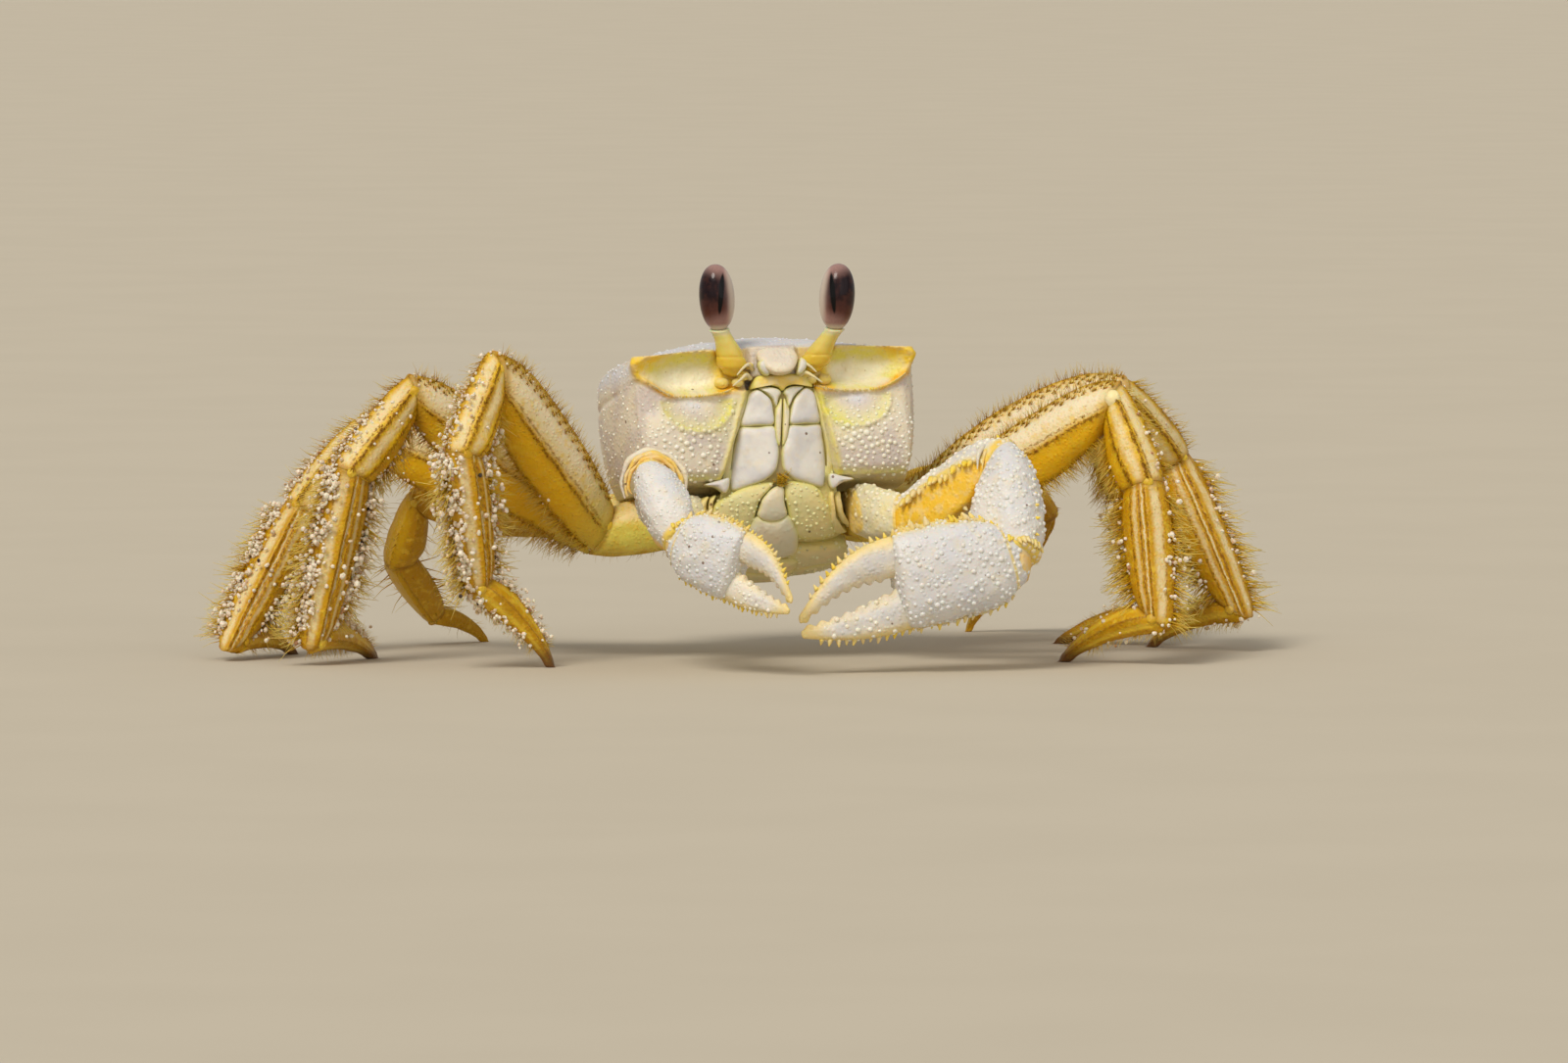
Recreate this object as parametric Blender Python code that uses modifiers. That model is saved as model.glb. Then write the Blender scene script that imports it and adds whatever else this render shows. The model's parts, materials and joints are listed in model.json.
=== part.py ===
"""Atlantic ghost crab (Ocypode quadrata), adult male, life size, crouched on the floor.

Lengths in the constants are millimetres and angles are degrees; the meshes are metres, +Z up.
The animal faces -Y. Its own right side is at -X and its own left side at +X. The body pieces
are shaped in the body's frame, whose origin is the middle of the carapace's front edge, and an
empty carries that frame to its pose. The limbs are chains of segments in the model's frame.
Neighbouring pieces keep a gap of JOINT_GAP, where the real animal has its soft joint skin.
"""

import math
from dataclasses import dataclass

import bmesh
import bpy
from mathutils import Matrix, Vector

MM = 0.001
JOINT_GAP = 0.3

# Pose of the body's frame in the model.
FRONT_HEIGHT = 42.0
BODY_YAW = 14.0
BODY_NOSE_UP = 9.0
BODY_ROLL = 1.5

# Carapace, in the body's frame: distance back from the front edge, then the value there.
CARAPACE_STATIONS = (0.2, 1.4, 3.5, 7.0, 11.0, 15.0, 19.0, 23.0, 27.0, 30.5, 33.0, 34.0)
HALF_WIDTH = ((0.0, 19.1), (3.0, 20.1), (8.0, 20.9), (14.0, 21.2), (21.0, 19.9), (28.0, 16.2), (34.0, 10.8))
CROWN_HEIGHT = ((0.0, 1.6), (4.0, 2.7), (9.0, 3.8), (15.0, 4.3), (22.0, 3.6), (29.0, 1.6), (34.0, -1.4))
SHOULDER_HEIGHT = ((0.0, 0.8), (8.0, 0.2), (16.0, -0.8), (24.0, -2.0), (30.0, -3.4), (34.0, -4.4))
UNDER_HEIGHT = ((0.0, -16.4), (4.0, -17.2), (18.0, -17.2), (26.0, -14.6), (34.0, -10.5))
WALL_TUCK = 0.92
CARAPACE_TOP_POINTS = 14
ORBIT_CENTRE = (12.5, -1.2, -2.05)
ORBIT_RADII = (7.9, 4.8, 2.6)
STALK_NOTCH_CENTRE = (6.1, -1.6, -0.6)
STALK_NOTCH_SIZE = (5.4, 6.4, 9.6)
CHEEK_CENTRE = (12.2, 3.4, -10.4)
CHEEK_RADII = (8.6, 4.1, 7.2)
TOOTH_BASE = (18.4, 1.6, -0.3)
TOOTH_TIP = (20.3, -0.4, 0.4)
TOOTH_RADIUS = 1.3
ROSTRUM_HALF_WIDTHS = (2.9, 2.6, 2.3, 1.6)
ROSTRUM_LINE = ((2.0, 0.3), (-0.4, 0.2), (-1.9, -0.7), (-2.4, -2.2))
ROSTRUM_THICKNESS = 1.1
MOUTH_HALF_WIDTH = 7.0
MOUTH_BACK = 3.2
MOUTH_TOP = -2.3

# Thorax (sternum) and the folded abdomen, in the body's frame.
THORAX_STATIONS = (0.6, 3.0, 7.0, 12.0, 18.0, 24.0, 28.5, 31.5)
THORAX_HALF_WIDTH = ((0.0, 7.0), (4.0, 9.6), (9.0, 10.6), (20.0, 10.6), (27.0, 8.8), (32.0, 6.0))
THORAX_BOTTOM = ((0.0, -20.2), (3.0, -23.6), (8.0, -27.2), (14.0, -28.6), (22.0, -27.2), (28.0, -23.0),
                 (32.0, -18.6))
THORAX_WALL_DROP = 6.2
THORAX_FLAT = 0.50
THORAX_FRONT_CLEARANCE = 1.5
ABDOMEN_STATIONS = (1.6, 4.0, 6.0, 9.0, 13.0, 18.0, 23.0, 28.0, 32.6)
ABDOMEN_HALF_WIDTH = ((1.0, 1.2), (5.0, 2.4), (6.5, 3.4), (14.0, 3.4), (22.0, 4.4), (33.0, 5.4))
ABDOMEN_THICKNESS = 1.3

# Mouth parts, in the body's frame.
EPISTOME_SIZE = (7.6, 3.0, 1.3)
EPISTOME_CENTRE = (0.0, 1.2, -3.25)
MOUTH_PLATE_SIZE = (13.2, 1.2, 13.2)
MOUTH_PLATE_CENTRE = (0.0, 2.3, -10.1)
ANTENNA_RADIUS = 0.3
ANTENNAE = (((2.0, 0.2, -3.2), (2.6, -1.9, -3.1), (3.0, -3.3, -2.4)),
            ((3.4, 0.2, -3.55), (4.3, -1.9, -3.75), (5.8, -3.5, -3.8)))
ISCHIUM = (6.2, 2.3, 8.9)
ISCHIUM_CENTRE = (3.35, -0.2, -12.95)
MERUS_PLATE = (4.7, 2.2, 4.8)
MERUS_PLATE_CENTRE = (2.75, -0.1, -6.65)
PALP = (1.3, 1.2, 6.0)
PALP_CENTRE = (1.1, -1.3, -8.2)
EXOPOD = (1.1, 1.6, 11.0)
EXOPOD_CENTRE = (6.15, 0.1, -11.4)
PLATE_BEVEL = 0.5

# Eyes: the stalk's foot in the body's frame, and the cornea's place beside the body's middle.
STALK_FOOT = (6.0, -0.9, -2.8)
STALK_RADII = (1.9, 1.6, 1.45, 1.6)
CORNEA_RADII = (2.45, 2.6, 4.55)
CORNEA_FOOT_ANGLE = -50.0
CORNEA_RINGS = 9
EYE_SIDES = 14
CORNEA_HEIGHT = 50.6
CORNEA_SIDES = {"right": (-7.7, -2.0, 4.0), "left": (8.8, 0.5, -4.0)}

# Walking legs: lengths of base, merus, carpus, propodus and dactyl, the same on both sides.
LEG_LENGTHS = {
    "leg_2": (12.0, 30.0, 12.5, 18.5, 16.0),
    "leg_3": (12.0, 33.5, 14.0, 23.0, 16.5),
    "leg_4": (12.0, 33.0, 14.0, 21.0, 15.0),
    "leg_5": (10.5, 24.5, 9.5, 13.0, 11.0),
}
# Where each leg leaves the thorax, for the animal's left side.
LEG_FEET = {
    "leg_2": (11.0, 9.4, -21.4),
    "leg_3": (11.0, 15.0, -21.4),
    "leg_4": (10.9, 20.8, -19.6),
    "leg_5": (9.9, 26.0, -17.8),
}
# Pose: heading about Z (0 is +X, 90 is +Y) and rise above the floor of each segment. The dactyl
# has a heading only, as its slope follows from the height of its root.
LEG_POSES = {
    ("leg_2", "right"): ((180, -4), (-135, 46), (-124, -55), (57, -78), 25),
    ("leg_3", "right"): ((179, -4), (-156, 35), (-146, -47), (163, -77), 62),
    ("leg_4", "right"): ((178, -4), (179, 22), (-163, -49), (-133, -54), 60),
    ("leg_5", "right"): ((176, -6), (180, 4), (125, -59), (63, -39), 45),
    ("leg_2", "left"): ((-8, -3), (-6, 32), (-50, -59), (-78, -72), 150),
    ("leg_3", "left"): ((24, 2), (3, 29), (46, -42), (-42, -60), 140),
    ("leg_4", "left"): ((27, 0), (24, 20), (60, -50), (-75, -50), 165),
    ("leg_5", "left"): ((24, -2), (38, 8), (46, -39), (120, -46), 150),
}
DACTYL_CURL = 28.0
DACTYL_STEPS = 5
LEG_WIDTH_SCALE = {"leg_2": 1.0, "leg_3": 1.0, "leg_4": 0.95, "leg_5": 0.78}
# Along each segment: fraction of its length, half height and half thickness of its section.
LEG_PROFILES = {
    "base": ((0.0, 2.6, 2.1), (0.3, 3.3, 2.4), (0.75, 3.5, 2.4), (1.0, 3.0, 2.1)),
    "merus": ((0.0, 3.0, 2.1), (0.2, 4.0, 2.5), (0.5, 4.5, 2.6), (0.8, 4.2, 2.5), (1.0, 2.7, 2.2)),
    "carpus": ((0.0, 2.4, 2.1), (0.3, 3.1, 2.8), (0.75, 3.4, 2.9), (1.0, 2.9, 2.5)),
    "propodus": ((0.0, 2.8, 2.4), (0.2, 3.3, 2.7), (0.6, 3.2, 2.6), (0.9, 2.6, 2.2), (1.0, 2.1, 1.8)),
    "dactyl": ((0.0, 1.9, 1.7), (0.15, 2.2, 1.9), (0.5, 1.7, 1.4), (0.85, 0.9, 0.8), (1.0, 0.5, 0.5)),
}
LEG_SECTION = ((0.0, 1.0), (0.72, 0.66), (1.0, 0.06), (0.72, -0.62), (0.0, -1.0),
               (-0.72, -0.62), (-1.0, 0.06), (-0.72, 0.66))

# Claws: joint points in the model's frame before it is centred.
CLAW_FOOT = (10.6, 3.2, -21.2)
CLAW_JOINTS = {
    "left": ((18.2, -4.4, 20.2), (30.6, -10.2, 27.0), (32.8, -17.6, 15.8), (17.3, -21.4, 12.6), (4.0, -23.9, 6.6)),
    "right": ((-14.8, -5.2, 20.6), (-16.4, -16.0, 25.8), (-12.6, -21.8, 18.4), (-4.8, -26.6, 15.2),
              (2.2, -31.6, 10.0)),
}
CLAW_SCALE = {"left": 1.0, "right": 0.77}
CLAW_PROFILES = {
    "base": ((0.0, 3.0, 2.3), (0.35, 3.7, 2.8), (1.0, 3.1, 2.5)),
    "merus": ((0.0, 3.0, 2.5), (0.3, 4.2, 3.2), (0.7, 4.9, 3.5), (1.0, 3.4, 2.9)),
    "carpus": ((0.0, 3.3, 2.9), (0.3, 5.0, 4.1), (0.65, 5.2, 4.3), (1.0, 3.6, 3.2)),
    "palm": ((0.0, 4.0, 3.0), (0.22, 6.0, 4.0), (0.6, 6.6, 4.3), (0.9, 6.7, 3.9), (1.0, 6.5, 3.6)),
}
CLAW_SECTION_POINTS = 12
FINGER_TEETH = 5
FINGER_TOOTH_HEIGHT = 0.5
FINGER_BASE_HALF = 3.0
FINGER_TIP_HALF = 0.6
FINGER_THICKNESS = 0.62

COLOURS = {
    "shell_white": ((0.78, 0.76, 0.72, 1.0), 0.45),
    "shell_green": ((0.68, 0.67, 0.32, 1.0), 0.45),
    "leg_gold": ((0.66, 0.44, 0.10, 1.0), 0.40),
    "claw_white": ((0.80, 0.78, 0.80, 1.0), 0.45),
    "stalk_yellow": ((0.80, 0.72, 0.34, 1.0), 0.30),
    "cornea_dark": ((0.09, 0.05, 0.05, 1.0), 0.08),
}


@dataclass(frozen=True)
class Scene:
    """The collections and empties that the pieces hang from."""

    parts: object
    cutters: object
    root: object
    body: object


def interpolate(table, position):
    """Read a (position, value) table as a smooth curve through its rows."""
    if position <= table[0][0]:
        return table[0][1]
    if position >= table[-1][0]:
        return table[-1][1]
    index = next(row for row in range(len(table) - 1) if position <= table[row + 1][0])
    (low, low_value), (high, high_value) = table[index], table[index + 1]
    width = high - low

    def slope(row):
        """Give the curve's slope at a row, from the rows beside it."""
        before, after = table[max(row - 1, 0)], table[min(row + 1, len(table) - 1)]
        return (after[1] - before[1]) / (after[0] - before[0])

    share = (position - low) / width
    rest = 1.0 - share
    return (low_value * rest * rest * (1.0 + 2.0 * share) + slope(index) * width * share * rest * rest
            + high_value * share * share * (3.0 - 2.0 * share) - slope(index + 1) * width * share * share * rest)


def clear_scene():
    """Remove every object that a new Blender file starts with."""
    for thing in list(bpy.data.objects):
        bpy.data.objects.remove(thing, do_unlink=True)


def make_material(name, slot):
    """Make one Principled material in a slot's colour and roughness."""
    colour, roughness = COLOURS[slot]
    material = bpy.data.materials.new(name)
    material.use_nodes = True
    shader = material.node_tree.nodes["Principled BSDF"]
    shader.inputs["Base Color"].default_value = colour
    shader.inputs["Roughness"].default_value = roughness
    shader.inputs["Metallic"].default_value = 0.0
    material.diffuse_color = colour
    return material


def body_matrix():
    """Give the body's frame: roll, then nose up, then yaw, then its height."""
    turn = (Matrix.Rotation(math.radians(BODY_YAW), 4, "Z")
            @ Matrix.Rotation(math.radians(-BODY_NOSE_UP), 4, "X")
            @ Matrix.Rotation(math.radians(-BODY_ROLL), 4, "Y"))
    return Matrix.Translation((0.0, 0.0, FRONT_HEIGHT * MM)) @ turn


def make_scene():
    """Make the two collections, the root empty and the body's empty."""
    clear_scene()
    parts = bpy.data.collections.new("ghost_crab")
    cutters = bpy.data.collections.new("cutters")
    for collection in (parts, cutters):
        bpy.context.scene.collection.children.link(collection)
    root = bpy.data.objects.new("crab_root", None)
    body = bpy.data.objects.new("crab_body_frame", None)
    for empty in (root, body):
        parts.objects.link(empty)
    body.parent = root
    body.matrix_local = body_matrix()
    return Scene(parts, cutters, root, body)


def add_piece(scene, name, mesh, slot, parent):
    """Put a mesh into the model as a named piece with its own material."""
    piece = bpy.data.objects.new(name, mesh)
    mesh.materials.clear()
    mesh.materials.append(make_material(name, slot))
    scene.parts.objects.link(piece)
    piece.parent = parent
    return piece


def mesh_from_rings(name, rings):
    """Skin a row of equal rings, in millimetres, into one closed mesh with flat ends."""
    form = bmesh.new()
    rows = [[form.verts.new(Vector(point) * MM) for point in ring] for ring in rings]
    count = len(rows[0])
    for near, far in zip(rows, rows[1:]):
        for index in range(count):
            following = (index + 1) % count
            form.faces.new((near[index], near[following], far[following], far[index]))
    form.faces.new(list(reversed(rows[0])))
    form.faces.new(rows[-1])
    bmesh.ops.recalc_face_normals(form, faces=form.faces)
    mesh = bpy.data.meshes.new(name)
    form.to_mesh(mesh)
    form.free()
    return mesh


def make_tool(scene, name, mesh):
    """Put a mesh among the cutters, hidden from renders."""
    tool = bpy.data.objects.new(name, mesh)
    tool.hide_render = True
    tool.display_type = "WIRE"
    scene.cutters.objects.link(tool)
    return tool


def primitive_mesh(name, create, matrix):
    """Make a mesh from one bmesh primitive, placed by a matrix."""
    form = bmesh.new()
    create(form)
    bmesh.ops.transform(form, matrix=matrix, verts=form.verts)
    bmesh.ops.recalc_face_normals(form, faces=form.faces)
    mesh = bpy.data.meshes.new(name)
    form.to_mesh(mesh)
    form.free()
    return mesh


def ellipsoid_mesh(name, centre, radii, segments=20, rows=12):
    """Make an ellipsoid, its poles along Z."""
    place = Matrix.Translation(Vector(centre) * MM) @ Matrix.Diagonal((*(Vector(radii) * MM), 1.0))
    return primitive_mesh(name, lambda form: bmesh.ops.create_uvsphere(
        form, u_segments=segments, v_segments=rows, radius=1.0), place)


def box_mesh(name, centre, size):
    """Make a box from its centre and its full sizes."""
    place = Matrix.Translation(Vector(centre) * MM) @ Matrix.Diagonal((*(Vector(size) * MM), 1.0))
    return primitive_mesh(name, lambda form: bmesh.ops.create_cube(form, size=1.0), place)


def cone_mesh(name, base, tip, radius, tip_radius, sides=8):
    """Make a cone or a rod between two points."""
    start, end = Vector(base) * MM, Vector(tip) * MM
    turn = (end - start).to_track_quat("Z", "Y").to_matrix().to_4x4()
    place = Matrix.Translation((start + end) / 2) @ turn
    return primitive_mesh(name, lambda form: bmesh.ops.create_cone(
        form, cap_ends=True, segments=sides, radius1=radius * MM, radius2=tip_radius * MM,
        depth=(end - start).length), place)


def combine(scene, piece, mesh, operation):
    """Join a mesh to a piece, or cut it out, with a live Boolean."""
    tool = make_tool(scene, f"{piece.name}_{operation.lower()}_{len(piece.modifiers)}", mesh)
    tool.parent = piece.parent
    boolean = piece.modifiers.new(tool.name, "BOOLEAN")
    boolean.operation = operation
    boolean.solver = "EXACT"
    boolean.object = tool


def mirrored(point, side):
    """Give a point of the animal's left side, or its twin on the right."""
    return Vector((point[0] if side > 0 else -point[0], point[1], point[2]))


# ---------------------------------------------------------------- carapace


def carapace_ring(back):
    """Give the carapace's section at one distance back: dome, walls and flat underside."""
    half = interpolate(HALF_WIDTH, back)
    crown = interpolate(CROWN_HEIGHT, back)
    shoulder = interpolate(SHOULDER_HEIGHT, back)
    under = interpolate(UNDER_HEIGHT, back)
    ring = []
    for step in range(CARAPACE_TOP_POINTS + 1):
        across = math.sin(math.pi * (step / CARAPACE_TOP_POINTS - 0.5))
        rise = (crown - shoulder) * (1.0 - abs(across) ** 2.2)
        ring.append((half * across, back, shoulder + rise))
    wall = ((1.015, 0.12), (1.01, 0.5), (0.975, 0.8), (WALL_TUCK, 1.0))
    for width, depth in wall:
        ring.append((half * width, back, shoulder + (under - shoulder) * depth))
    ring.append((0.0, back, under))
    for width, depth in reversed(wall):
        ring.append((-half * width, back, shoulder + (under - shoulder) * depth))
    return ring


def rostrum_rings():
    """Give the rostrum's slab, bending down between the eyestalks."""
    rings = []
    for (back, height), half in zip(ROSTRUM_LINE, ROSTRUM_HALF_WIDTHS):
        low = height - ROSTRUM_THICKNESS * (0.4 if height > -2.0 else 0.0)
        back_shift = 0.0 if height > -0.5 else 0.8
        rings.append(((-half, back, height + 0.5), (0.0, back - 0.15, height + 0.7), (half, back, height + 0.5),
                      (half * 0.9, back + back_shift, low - 0.4), (-half * 0.9, back + back_shift, low - 0.4)))
    return rings


def build_carapace(scene):
    """Build the carapace with its orbits, cheeks, outer teeth, rostrum and mouth recess."""
    mesh = mesh_from_rings("carapace", [carapace_ring(back) for back in CARAPACE_STATIONS])
    piece = add_piece(scene, "carapace", mesh, "shell_white", scene.body)
    for side in (1, -1):
        cheek = ellipsoid_mesh("cheek", mirrored(CHEEK_CENTRE, side), CHEEK_RADII)
        combine(scene, piece, cheek, "UNION")
        tooth = cone_mesh("tooth", mirrored(TOOTH_BASE, side), mirrored(TOOTH_TIP, side), TOOTH_RADIUS, 0.25)
        combine(scene, piece, tooth, "UNION")
    for side in (1, -1):
        orbit = ellipsoid_mesh("orbit", mirrored(ORBIT_CENTRE, side), ORBIT_RADII, 24, 12)
        combine(scene, piece, orbit, "DIFFERENCE")
        notch = box_mesh("notch", mirrored(STALK_NOTCH_CENTRE, side), STALK_NOTCH_SIZE)
        combine(scene, piece, notch, "DIFFERENCE")
    recess_height = 22.0
    recess = box_mesh("recess", (0.0, MOUTH_BACK - 5.0, MOUTH_TOP - recess_height / 2),
                      (2 * MOUTH_HALF_WIDTH, 10.0, recess_height))
    combine(scene, piece, recess, "DIFFERENCE")
    combine(scene, piece, mesh_from_rings("rostrum", rostrum_rings()), "UNION")


# ---------------------------------------------------------------- thorax and abdomen


def thorax_ring(back):
    """Give the thorax's section: upright walls for the legs, then a keel with a flat sole."""
    half = interpolate(THORAX_HALF_WIDTH, back)
    clearance = JOINT_GAP if back > MOUTH_BACK else THORAX_FRONT_CLEARANCE
    top = interpolate(UNDER_HEIGHT, back) - clearance
    bottom = interpolate(THORAX_BOTTOM, back)
    wall = max(bottom + 0.8, top - THORAX_WALL_DROP)
    flat = half * THORAX_FLAT
    return ((-half, back, top), (half, back, top), (half, back, wall),
            ((half + flat) / 2 + 0.8, back, (wall + bottom) / 2 - 0.3), (flat, back, bottom),
            (-flat, back, bottom), (-(half + flat) / 2 - 0.8, back, (wall + bottom) / 2 - 0.3),
            (-half, back, wall))


def build_thorax(scene):
    """Build the thorax, which the legs leave on both sides."""
    mesh = mesh_from_rings("thorax", [thorax_ring(back) for back in THORAX_STATIONS])
    add_piece(scene, "thorax", mesh, "shell_green", scene.body)


def abdomen_ring(back):
    """Give the folded abdomen's section, lying under the thorax's sole."""
    half = interpolate(ABDOMEN_HALF_WIDTH, back)
    top = interpolate(THORAX_BOTTOM, back) - JOINT_GAP * 1.6
    return ((-half, back, top), (half, back, top), (half * 0.92, back, top - ABDOMEN_THICKNESS * 0.7),
            (0.0, back, top - ABDOMEN_THICKNESS), (-half * 0.92, back, top - ABDOMEN_THICKNESS * 0.7))


def build_abdomen(scene):
    """Build the male's narrow abdomen."""
    mesh = mesh_from_rings("abdomen", [abdomen_ring(back) for back in ABDOMEN_STATIONS])
    add_piece(scene, "abdomen", mesh, "shell_green", scene.body)


# ---------------------------------------------------------------- head


def bevel_edges(piece, width):
    """Round a piece's edges with a live bevel."""
    bevel = piece.modifiers.new("rounding", "BEVEL")
    bevel.width = width * MM
    bevel.segments = 1
    bevel.limit_method = "ANGLE"


def build_mouth_frame(scene):
    """Build the epistome, the plate behind the maxillipeds and the small antennae."""
    piece = add_piece(scene, "mouth_frame", box_mesh("mouth_frame", EPISTOME_CENTRE, EPISTOME_SIZE),
                      "shell_green", scene.body)
    combine(scene, piece, box_mesh("plate", MOUTH_PLATE_CENTRE, MOUTH_PLATE_SIZE), "UNION")
    for side in (1, -1):
        for root, bend, tip in ANTENNAE:
            upper = cone_mesh("antenna", mirrored(root, side), mirrored(bend, side), ANTENNA_RADIUS * 1.6,
                              ANTENNA_RADIUS * 1.2, 6)
            combine(scene, piece, upper, "UNION")
            reach = mirrored(bend, side) + (mirrored(root, side) - mirrored(bend, side)).normalized() * 0.25
            outer = cone_mesh("antenna_tip", reach, mirrored(tip, side), ANTENNA_RADIUS * 1.1, ANTENNA_RADIUS, 6)
            combine(scene, piece, outer, "UNION")


def build_maxilliped(scene, name, side):
    """Build one outer maxilliped: ischium, merus, palp and exopod."""
    mesh = box_mesh(name, mirrored(ISCHIUM_CENTRE, side), ISCHIUM)
    piece = add_piece(scene, name, mesh, "shell_white", scene.body)
    for centre, size in ((MERUS_PLATE_CENTRE, MERUS_PLATE), (PALP_CENTRE, PALP), (EXOPOD_CENTRE, EXOPOD)):
        combine(scene, piece, box_mesh("lobe", mirrored(centre, side), size), "UNION")
    bevel_edges(piece, PLATE_BEVEL)


def build_eye(scene, side_name, side):
    """Build one eye: a waisted stalk from the orbit up to the upright cornea."""
    across, depth, lean = CORNEA_SIDES[side_name]
    centre = Vector((across, depth, CORNEA_HEIGHT))
    tilt = Matrix.Rotation(math.radians(-lean), 3, "Y")
    turns = [math.tau * corner / EYE_SIDES for corner in range(EYE_SIDES)]
    wide, deep, tall = CORNEA_RADII
    rings = []
    for step in range(CORNEA_RINGS):
        angle = math.radians(CORNEA_FOOT_ANGLE + (84.0 - CORNEA_FOOT_ANGLE) * step / (CORNEA_RINGS - 1))
        rings.append([centre + tilt @ Vector((wide * math.cos(angle) * math.cos(turn),
                                              deep * math.cos(angle) * math.sin(turn),
                                              tall * math.sin(angle))) for turn in turns])
    add_piece(scene, f"eye_{side_name}", mesh_from_rings(f"eye_{side_name}", rings), "cornea_dark", scene.root)
    drop = tall * math.sin(math.radians(-CORNEA_FOOT_ANGLE)) + JOINT_GAP
    top = centre - tilt @ Vector((0.0, 0.0, drop))
    foot = body_matrix() @ (mirrored(STALK_FOOT, side) * MM) / MM
    rings = []
    steps = len(STALK_RADII) - 1
    for index, radius in enumerate(STALK_RADII):
        share = index / steps
        middle = foot.lerp(top, share)
        turned = tilt if index == steps else Matrix.Identity(3)
        rings.append([middle + turned @ Vector((radius * math.cos(turn), radius * math.sin(turn), 0.0))
                      for turn in turns])
    add_piece(scene, f"eyestalk_{side_name}", mesh_from_rings(f"eyestalk_{side_name}", rings),
              "stalk_yellow", scene.root)


# ---------------------------------------------------------------- limbs


def direction(heading, rise):
    """Give the unit vector of a heading about Z and a rise above the floor."""
    turn, lift = math.radians(heading), math.radians(rise)
    return Vector((math.cos(lift) * math.cos(turn), math.cos(lift) * math.sin(turn), math.sin(lift)))


@dataclass
class Segment:
    """One limb segment: its centre line, its end planes and its section axes."""

    centres: list
    normals: tuple
    across: Vector
    side: int

    def rings(self, profile, section):
        """Lay the section along the line, sheared so that each end lies in its own plane."""
        total = sum((after - before).length for before, after in zip(self.centres, self.centres[1:]))
        rings = []
        across = self.across
        last = len(profile) - 1
        for index, (share, half_up, half_across) in enumerate(profile):
            centre, along = self.point_at(share * total)
            across = (across - along * across.dot(along)).normalized()
            upward = across.cross(along) * self.side
            inset = JOINT_GAP / 2 if index in (0, last) else 0.0
            centre = centre + along * (inset if index == 0 else -inset)
            ring = []
            for part_across, part_up in section:
                offset = across * (part_across * half_across) + upward * (part_up * half_up)
                slide = self.slide(offset, along, 0) * (1.0 - share) + self.slide(offset, along, 1) * share
                ring.append(centre + offset + along * slide)
            rings.append(ring)
        return rings

    def slide(self, offset, along, end):
        """Give how far a point moves along the segment to reach one end plane."""
        normal = self.normals[end]
        return -offset.dot(normal) / max(0.42, abs(along.dot(normal))) * math.copysign(1.0, along.dot(normal))

    def point_at(self, distance):
        """Walk along the centre line and give the place and direction there."""
        left = distance
        pairs = list(zip(self.centres, self.centres[1:]))
        for index, (before, after) in enumerate(pairs):
            length = (after - before).length
            if left <= length + 1e-6 or index == len(pairs) - 1:
                along = (after - before).normalized()
                return before + along * left, along
            left -= length
        return self.centres[-1], Vector((0.0, 0.0, 1.0))


def carried_across(across, along):
    """Carry a limb's forward direction on to its next segment."""
    return (across - along * across.dot(along)).normalized()


def dactyl_line(start, heading, length):
    """Give a dactyl's arc from its joint down to the floor, its slope growing by DACTYL_CURL."""
    def arc(first_slope):
        points = [start.copy()]
        for step in range(DACTYL_STEPS):
            slope = first_slope + DACTYL_CURL * (step + 0.5) / DACTYL_STEPS
            points.append(points[-1] + direction(heading, -slope) * (length / DACTYL_STEPS))
        return points
    low, high = -DACTYL_CURL, 90.0 - DACTYL_CURL / 2
    for _ in range(40):
        middle = (low + high) / 2
        if arc(middle)[-1].z > 0.0:
            low = middle
        else:
            high = middle
    return arc((low + high) / 2)


def build_leg(scene, leg, side_name, side):
    """Build one walking leg of five pieces, its dactyl's tip cut flat on the floor."""
    lengths = LEG_LENGTHS[leg]
    pose = LEG_POSES[(leg, side_name)]
    scale = LEG_WIDTH_SCALE[leg]
    start = body_matrix() @ (mirrored(LEG_FEET[leg], side) * MM) / MM
    lateral = body_matrix().to_3x3() @ Vector((side, 0.0, 0.0))
    lines = []
    for length, (heading, rise) in zip(lengths, pose[:4]):
        end = start + direction(heading, rise) * length
        lines.append([start, end])
        start = end
    lines.append(dactyl_line(start, pose[4], lengths[4]))
    across = body_matrix().to_3x3() @ Vector((0.0, -1.0, 0.0))
    build_chain(scene, f"{leg}_{side_name}", lines, lateral, Vector((0.0, 0.0, -1.0)), across, side, scale)


def build_chain(scene, prefix, lines, first_plane, last_plane, across, side, scale):
    """Build a walking leg's segments, each mitred to its neighbours."""
    names = ("base", "merus", "carpus", "propodus", "dactyl")
    leaving = [(line[-1] - line[-2]).normalized() for line in lines]
    entering = [(line[1] - line[0]).normalized() for line in lines]
    for index, (name, line) in enumerate(zip(names, lines)):
        before = first_plane if index == 0 else (leaving[index - 1] + entering[index]).normalized()
        after = last_plane if index == len(lines) - 1 else (leaving[index] + entering[index + 1]).normalized()
        across = carried_across(across, entering[index])
        profile = tuple((share, high * scale, wide * scale) for share, high, wide in LEG_PROFILES[name])
        segment = Segment(line, (before, after), across, side)
        rings = segment.rings(profile, LEG_SECTION)
        if name == "dactyl":
            rings[-1] = [Vector((point.x, point.y, 0.0)) for point in rings[-1]]
        mesh = mesh_from_rings(f"{prefix}_{name}", rings)
        add_piece(scene, f"{prefix}_{name}", mesh, "leg_gold", scene.root)


# ---------------------------------------------------------------- claws


def round_section(points):
    """Give a rounded-square section of unit half sizes."""
    section = []
    for corner in range(points):
        turn = math.tau * corner / points + math.pi / 2
        reach = (abs(math.cos(turn)) ** 2.6 + abs(math.sin(turn)) ** 2.6) ** (-1 / 2.6)
        section.append((reach * math.cos(turn), reach * math.sin(turn)))
    return tuple(section)


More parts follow.
